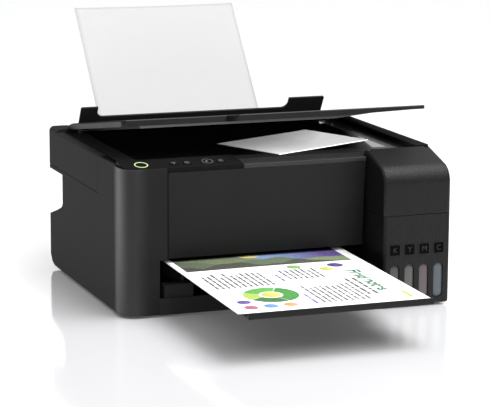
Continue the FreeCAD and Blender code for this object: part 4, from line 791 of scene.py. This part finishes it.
flat_marks(
    "network_mark",
    "network_button",
    [
        ((0, -2), (0, 0.7), (0, 360)),
        ((0, -2), (1.4, 2.1), (45, 135)),
        ((0, -2), (2.8, 3.5), (45, 135)),
        ((0, -2), (4.2, 4.9), (45, 135)),
    ],
    mark_paint,
)
flat_marks(
    "status_mark",
    "status_button",
    [((0, 0), (2.2, 3.0), (20, 340)), ((0, 0), (0, 0.8), (0, 360))],
    mark_paint,
)
flat_marks(
    "mono_mark",
    "mono_copy_button",
    [((0, 0), (5.6, 6.4), (0, 360)), ((0, 0), (0, 2.4), (90, 270))],
    mark_paint,
)
flat_marks(
    "colour_mark",
    "colour_copy_button",
    [((0, 0), (2.6, 3.2), (30, 330)), ((0, 0), (0, 1.3), (0, 360))],
    mark_paint,
)

# ink windows and their letters

FRONT_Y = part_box("tank_case")[0][1]
WINDOW_LOW, WINDOW_HIGH = 9.5 * MM, 49.5 * MM
WINDOW_HALF = 5.5 * MM
WINDOW_DEPTH = 2.4 * MM
WINDOW_CROWN = 0.8 * MM


def ink_window(ink):
    """A window pane in its slot: a stadium with points m + s (c - m) from its middle line m to its rim c,
    crowned towards the front by 1 - s^2."""
    low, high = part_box(f"{ink}_tank")
    middle = (low[0] + high[0]) / 2
    s, a = np.meshgrid(np.linspace(0.04, 1, 12), np.linspace(0, 2 * np.pi, 64, endpoint=False), indexing="ij")
    ends = np.where(np.sin(a) >= 0, WINDOW_HIGH - WINDOW_HALF, WINDOW_LOW + WINDOW_HALF)
    x = middle + s * WINDOW_HALF * np.cos(a)
    z = ends + s * WINDOW_HALF * np.sin(a)
    y = FRONT_Y + WINDOW_DEPTH - WINDOW_CROWN * (1 - s**2)
    piece = surface(f"{ink}_window", np.stack([x, y, z], axis=-1)[:, ::-1], wrap=(False, True), cap=True)
    thicken(piece, 0.3 * MM)
    dress(piece, inks[ink], "case")


BOX_FACES = np.array([(0, 1, 3, 2), (4, 6, 7, 5), (0, 4, 5, 1), (2, 3, 7, 6), (0, 2, 6, 4), (1, 5, 7, 3)])
LABEL_Z = 67 * MM
LABEL_HALF = 5.6 * MM
LABEL_PROUD = 0.25 * MM
LETTER_PROUD = 0.31 * MM
LETTER_SIZE = 8.5 * MM
LETTER_DEPTH = 0.08 * MM


def ink_label(ink, letter):
    """A dark square over its window, and the colour's letter standing a little proud of it."""
    low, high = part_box(f"{ink}_tank")
    middle = (low[0] + high[0]) / 2
    corners = np.array([(i, j, k) for i in (-1, 1) for j in (-1, 1) for k in (-1, 1)], dtype=float)
    points = corners * (LABEL_HALF, LABEL_PROUD, LABEL_HALF) + (middle, FRONT_Y, LABEL_Z)
    dress(shell(f"{ink}_label", points, BOX_FACES), label_and_gap_shade_paint, "case")
    mesh = lettering(f"{ink}_letter", letter, LETTER_SIZE, LETTER_DEPTH)
    place = Vector((middle, FRONT_Y - LETTER_PROUD, LABEL_Z))
    mesh.transform(Matrix.Translation(place) @ Matrix.Rotation(math.radians(90), 4, "X"))
    piece = bpy.data.objects.new(f"{ink}_letter", mesh)
    bpy.context.collection.objects.link(piece)
    dress(piece, letter_paint, "case")


for ink, letter in (("black", "K"), ("yellow", "Y"), ("magenta", "M"), ("cyan", "C")):
    ink_window(ink)
    ink_label(ink, letter)

# dark strips in the gaps beside the front panel: painted shade, standing in for the dark of these gaps

PANEL_GAPS = {"left_gap_shade": (-135.5, -133.8), "right_gap_shade": (103.1, 104.8)}
PANEL_FRONT = -82.5
STRIP_LOW, STRIP_HIGH = 64, 161
STRIP_FRONT, STRIP_BACK = 0.3, 1.5


def gap_strip(name, left, right):
    """A dark upright strip of painted shade in a gap of the front, just behind its face, in millimetres."""
    low = np.array([left, PANEL_FRONT + STRIP_FRONT, STRIP_LOW])
    high = np.array([right, PANEL_FRONT + STRIP_BACK, STRIP_HIGH])
    corners = np.array([(i, j, k) for i in (0, 1) for j in (0, 1) for k in (0, 1)])
    points = (low + corners * (high - low)) * MM
    dress(shell(name, points, BOX_FACES), label_and_gap_shade_paint, "case")


for name, (left, right) in PANEL_GAPS.items():
    gap_strip(name, left, right)

# studio: pale floor, a bright surround mirrored by the floor and the scanner bed, soft light


def plain(name, colour, rough, glow, mirrored_only=False):
    """A stage material: a plain colour and a glow, if need be one that shows in mirrors only."""
    material = bpy.data.materials.new(name)
    material.use_nodes = True
    shader = material.node_tree.nodes["Principled BSDF"]
    shader.inputs["Base Color"].default_value = (*grey(colour), 1)
    shader.inputs["Roughness"].default_value = rough
    shader.inputs["Emission Color"].default_value = (1, 1, 1, 1)
    shader.inputs["Emission Strength"].default_value = glow
    if mirrored_only:
        path = material.node_tree.nodes.new("ShaderNodeLightPath")
        material.node_tree.links.new(path.outputs["Is Glossy Ray"], shader.inputs["Emission Strength"])
    return material


FLOOR_SPAN = 40
FLOOR_DROP = 0.4 * MM
WALL_RADIUS, WALL_HEIGHT = 9, 4.2


def studio_floor():
    """A pale, slightly polished floor."""
    u, v = grid(2, 2)
    points = np.stack([(u - 0.5) * FLOOR_SPAN, (v - 0.5) * FLOOR_SPAN, np.full_like(u, -FLOOR_DROP)], axis=-1)
    floor = surface("floor", points, smooth=False)
    floor.data.materials.append(plain("floor", 0.95, 0.09, 0.08))
    floor.data.materials[0].node_tree.nodes["Principled BSDF"].inputs["Metallic"].default_value = 0.34
    return floor


def studio_wall(floor):
    """A round wall far off, bright only as the floor, the glass and the bezel mirror it.

    Its points are R (cos a, sin a) at two heights."""
    a, v = np.meshgrid(np.linspace(0, 2 * np.pi, 96, endpoint=False), np.array([0.0, 1.0]), indexing="ij")
    points = np.stack([WALL_RADIUS * np.cos(a), WALL_RADIUS * np.sin(a), WALL_HEIGHT * v], axis=-1)
    wall = surface("wall", points, wrap=(True, False))
    wall.data.materials.append(plain("wall", 0.02, 0.9, 1.0, True))
    seen_by = bpy.data.collections.new("lit by the wall")
    for piece in (floor, nodes["scanner_glass"], nodes["scanner_bezel"]):
        seen_by.objects.link(piece)
    wall.light_linking.receiver_collection = seen_by


def studio_world(strength):
    """An even sky."""
    world = bpy.data.worlds.new("studio")
    world.use_nodes = True
    bpy.context.scene.world = world
    back = world.node_tree.nodes["Background"]
    back.inputs["Color"].default_value = (1, 1, 1, 1)
    back.inputs["Strength"].default_value = strength


def soft_light(name, place, target, size, power, only=(), but=()):
    """A soft lamp that looks at a point, and may light some pieces only, or all but some."""
    data = bpy.data.lights.new(name, "AREA")
    data.shape = "RECTANGLE"
    data.size, data.size_y = size
    data.energy = power
    lamp = bpy.data.objects.new(name, data)
    bpy.context.collection.objects.link(lamp)
    lamp.location = place
    lamp.rotation_euler = (Vector(target) - Vector(place)).to_track_quat("-Z", "Y").to_euler()
    if only or but:
        lit = bpy.data.collections.new(f"lit by {name}")
        for piece in (*only, *but):
            lit.objects.link(piece)
        for member in lit.collection_objects:
            member.light_linking.link_state = "EXCLUDE" if but else "INCLUDE"
        lamp.light_linking.receiver_collection = lit


side_nodes = [nodes[name] for name in ("left_case", "left_upper_cover", "base_pan")]
bed_nodes = [nodes[name] for name in ("scanner_bezel", "scanner_tub")]
studio_wall(studio_floor())
studio_world(0.72)
soft_light("key", (0.15, -1.9, 2.0), (0, 0, 0.1), (1.2, 1.2), 22)
soft_light("corner", (-1.7, 0.6, 0.15), (-0.18, -0.08, 0.1), (2.2, 0.4), 28, side_nodes)
soft_light("over", (0.75, -0.4, 2.1), (0.1, 0, 0.1), (1.7, 1.7), 64, but=(sheet,))
soft_light("under lid", (0.95, -0.45, 0.37), (0, 0, 0.17), (0.4, 0.3), 52, (nodes["photo_card"], *bed_nodes))
soft_light("bed", (-0.4, -1.8, 0.45), (0, 0, 0.17), (0.4, 0.3), 90, (*bed_nodes, nodes["lid_pad"]))
soft_light("paper", (0.1, -2.0, 0.9), (0, 0, 0.25), (0.8, 0.8), 13, (sheet, page))
soft_light("low", (-0.6, -1.3, 0.16), (-0.1, -0.1, 0.02), (0.3, 0.2), 5, (nodes["base_pan"],))
soft_light("rim", (-1.3, -0.5, 0.75), (0.17, 0, 0.17), (0.5, 0.5), 14, (nodes["right_case"],))

bpy.context.scene.view_settings.view_transform = "Standard"
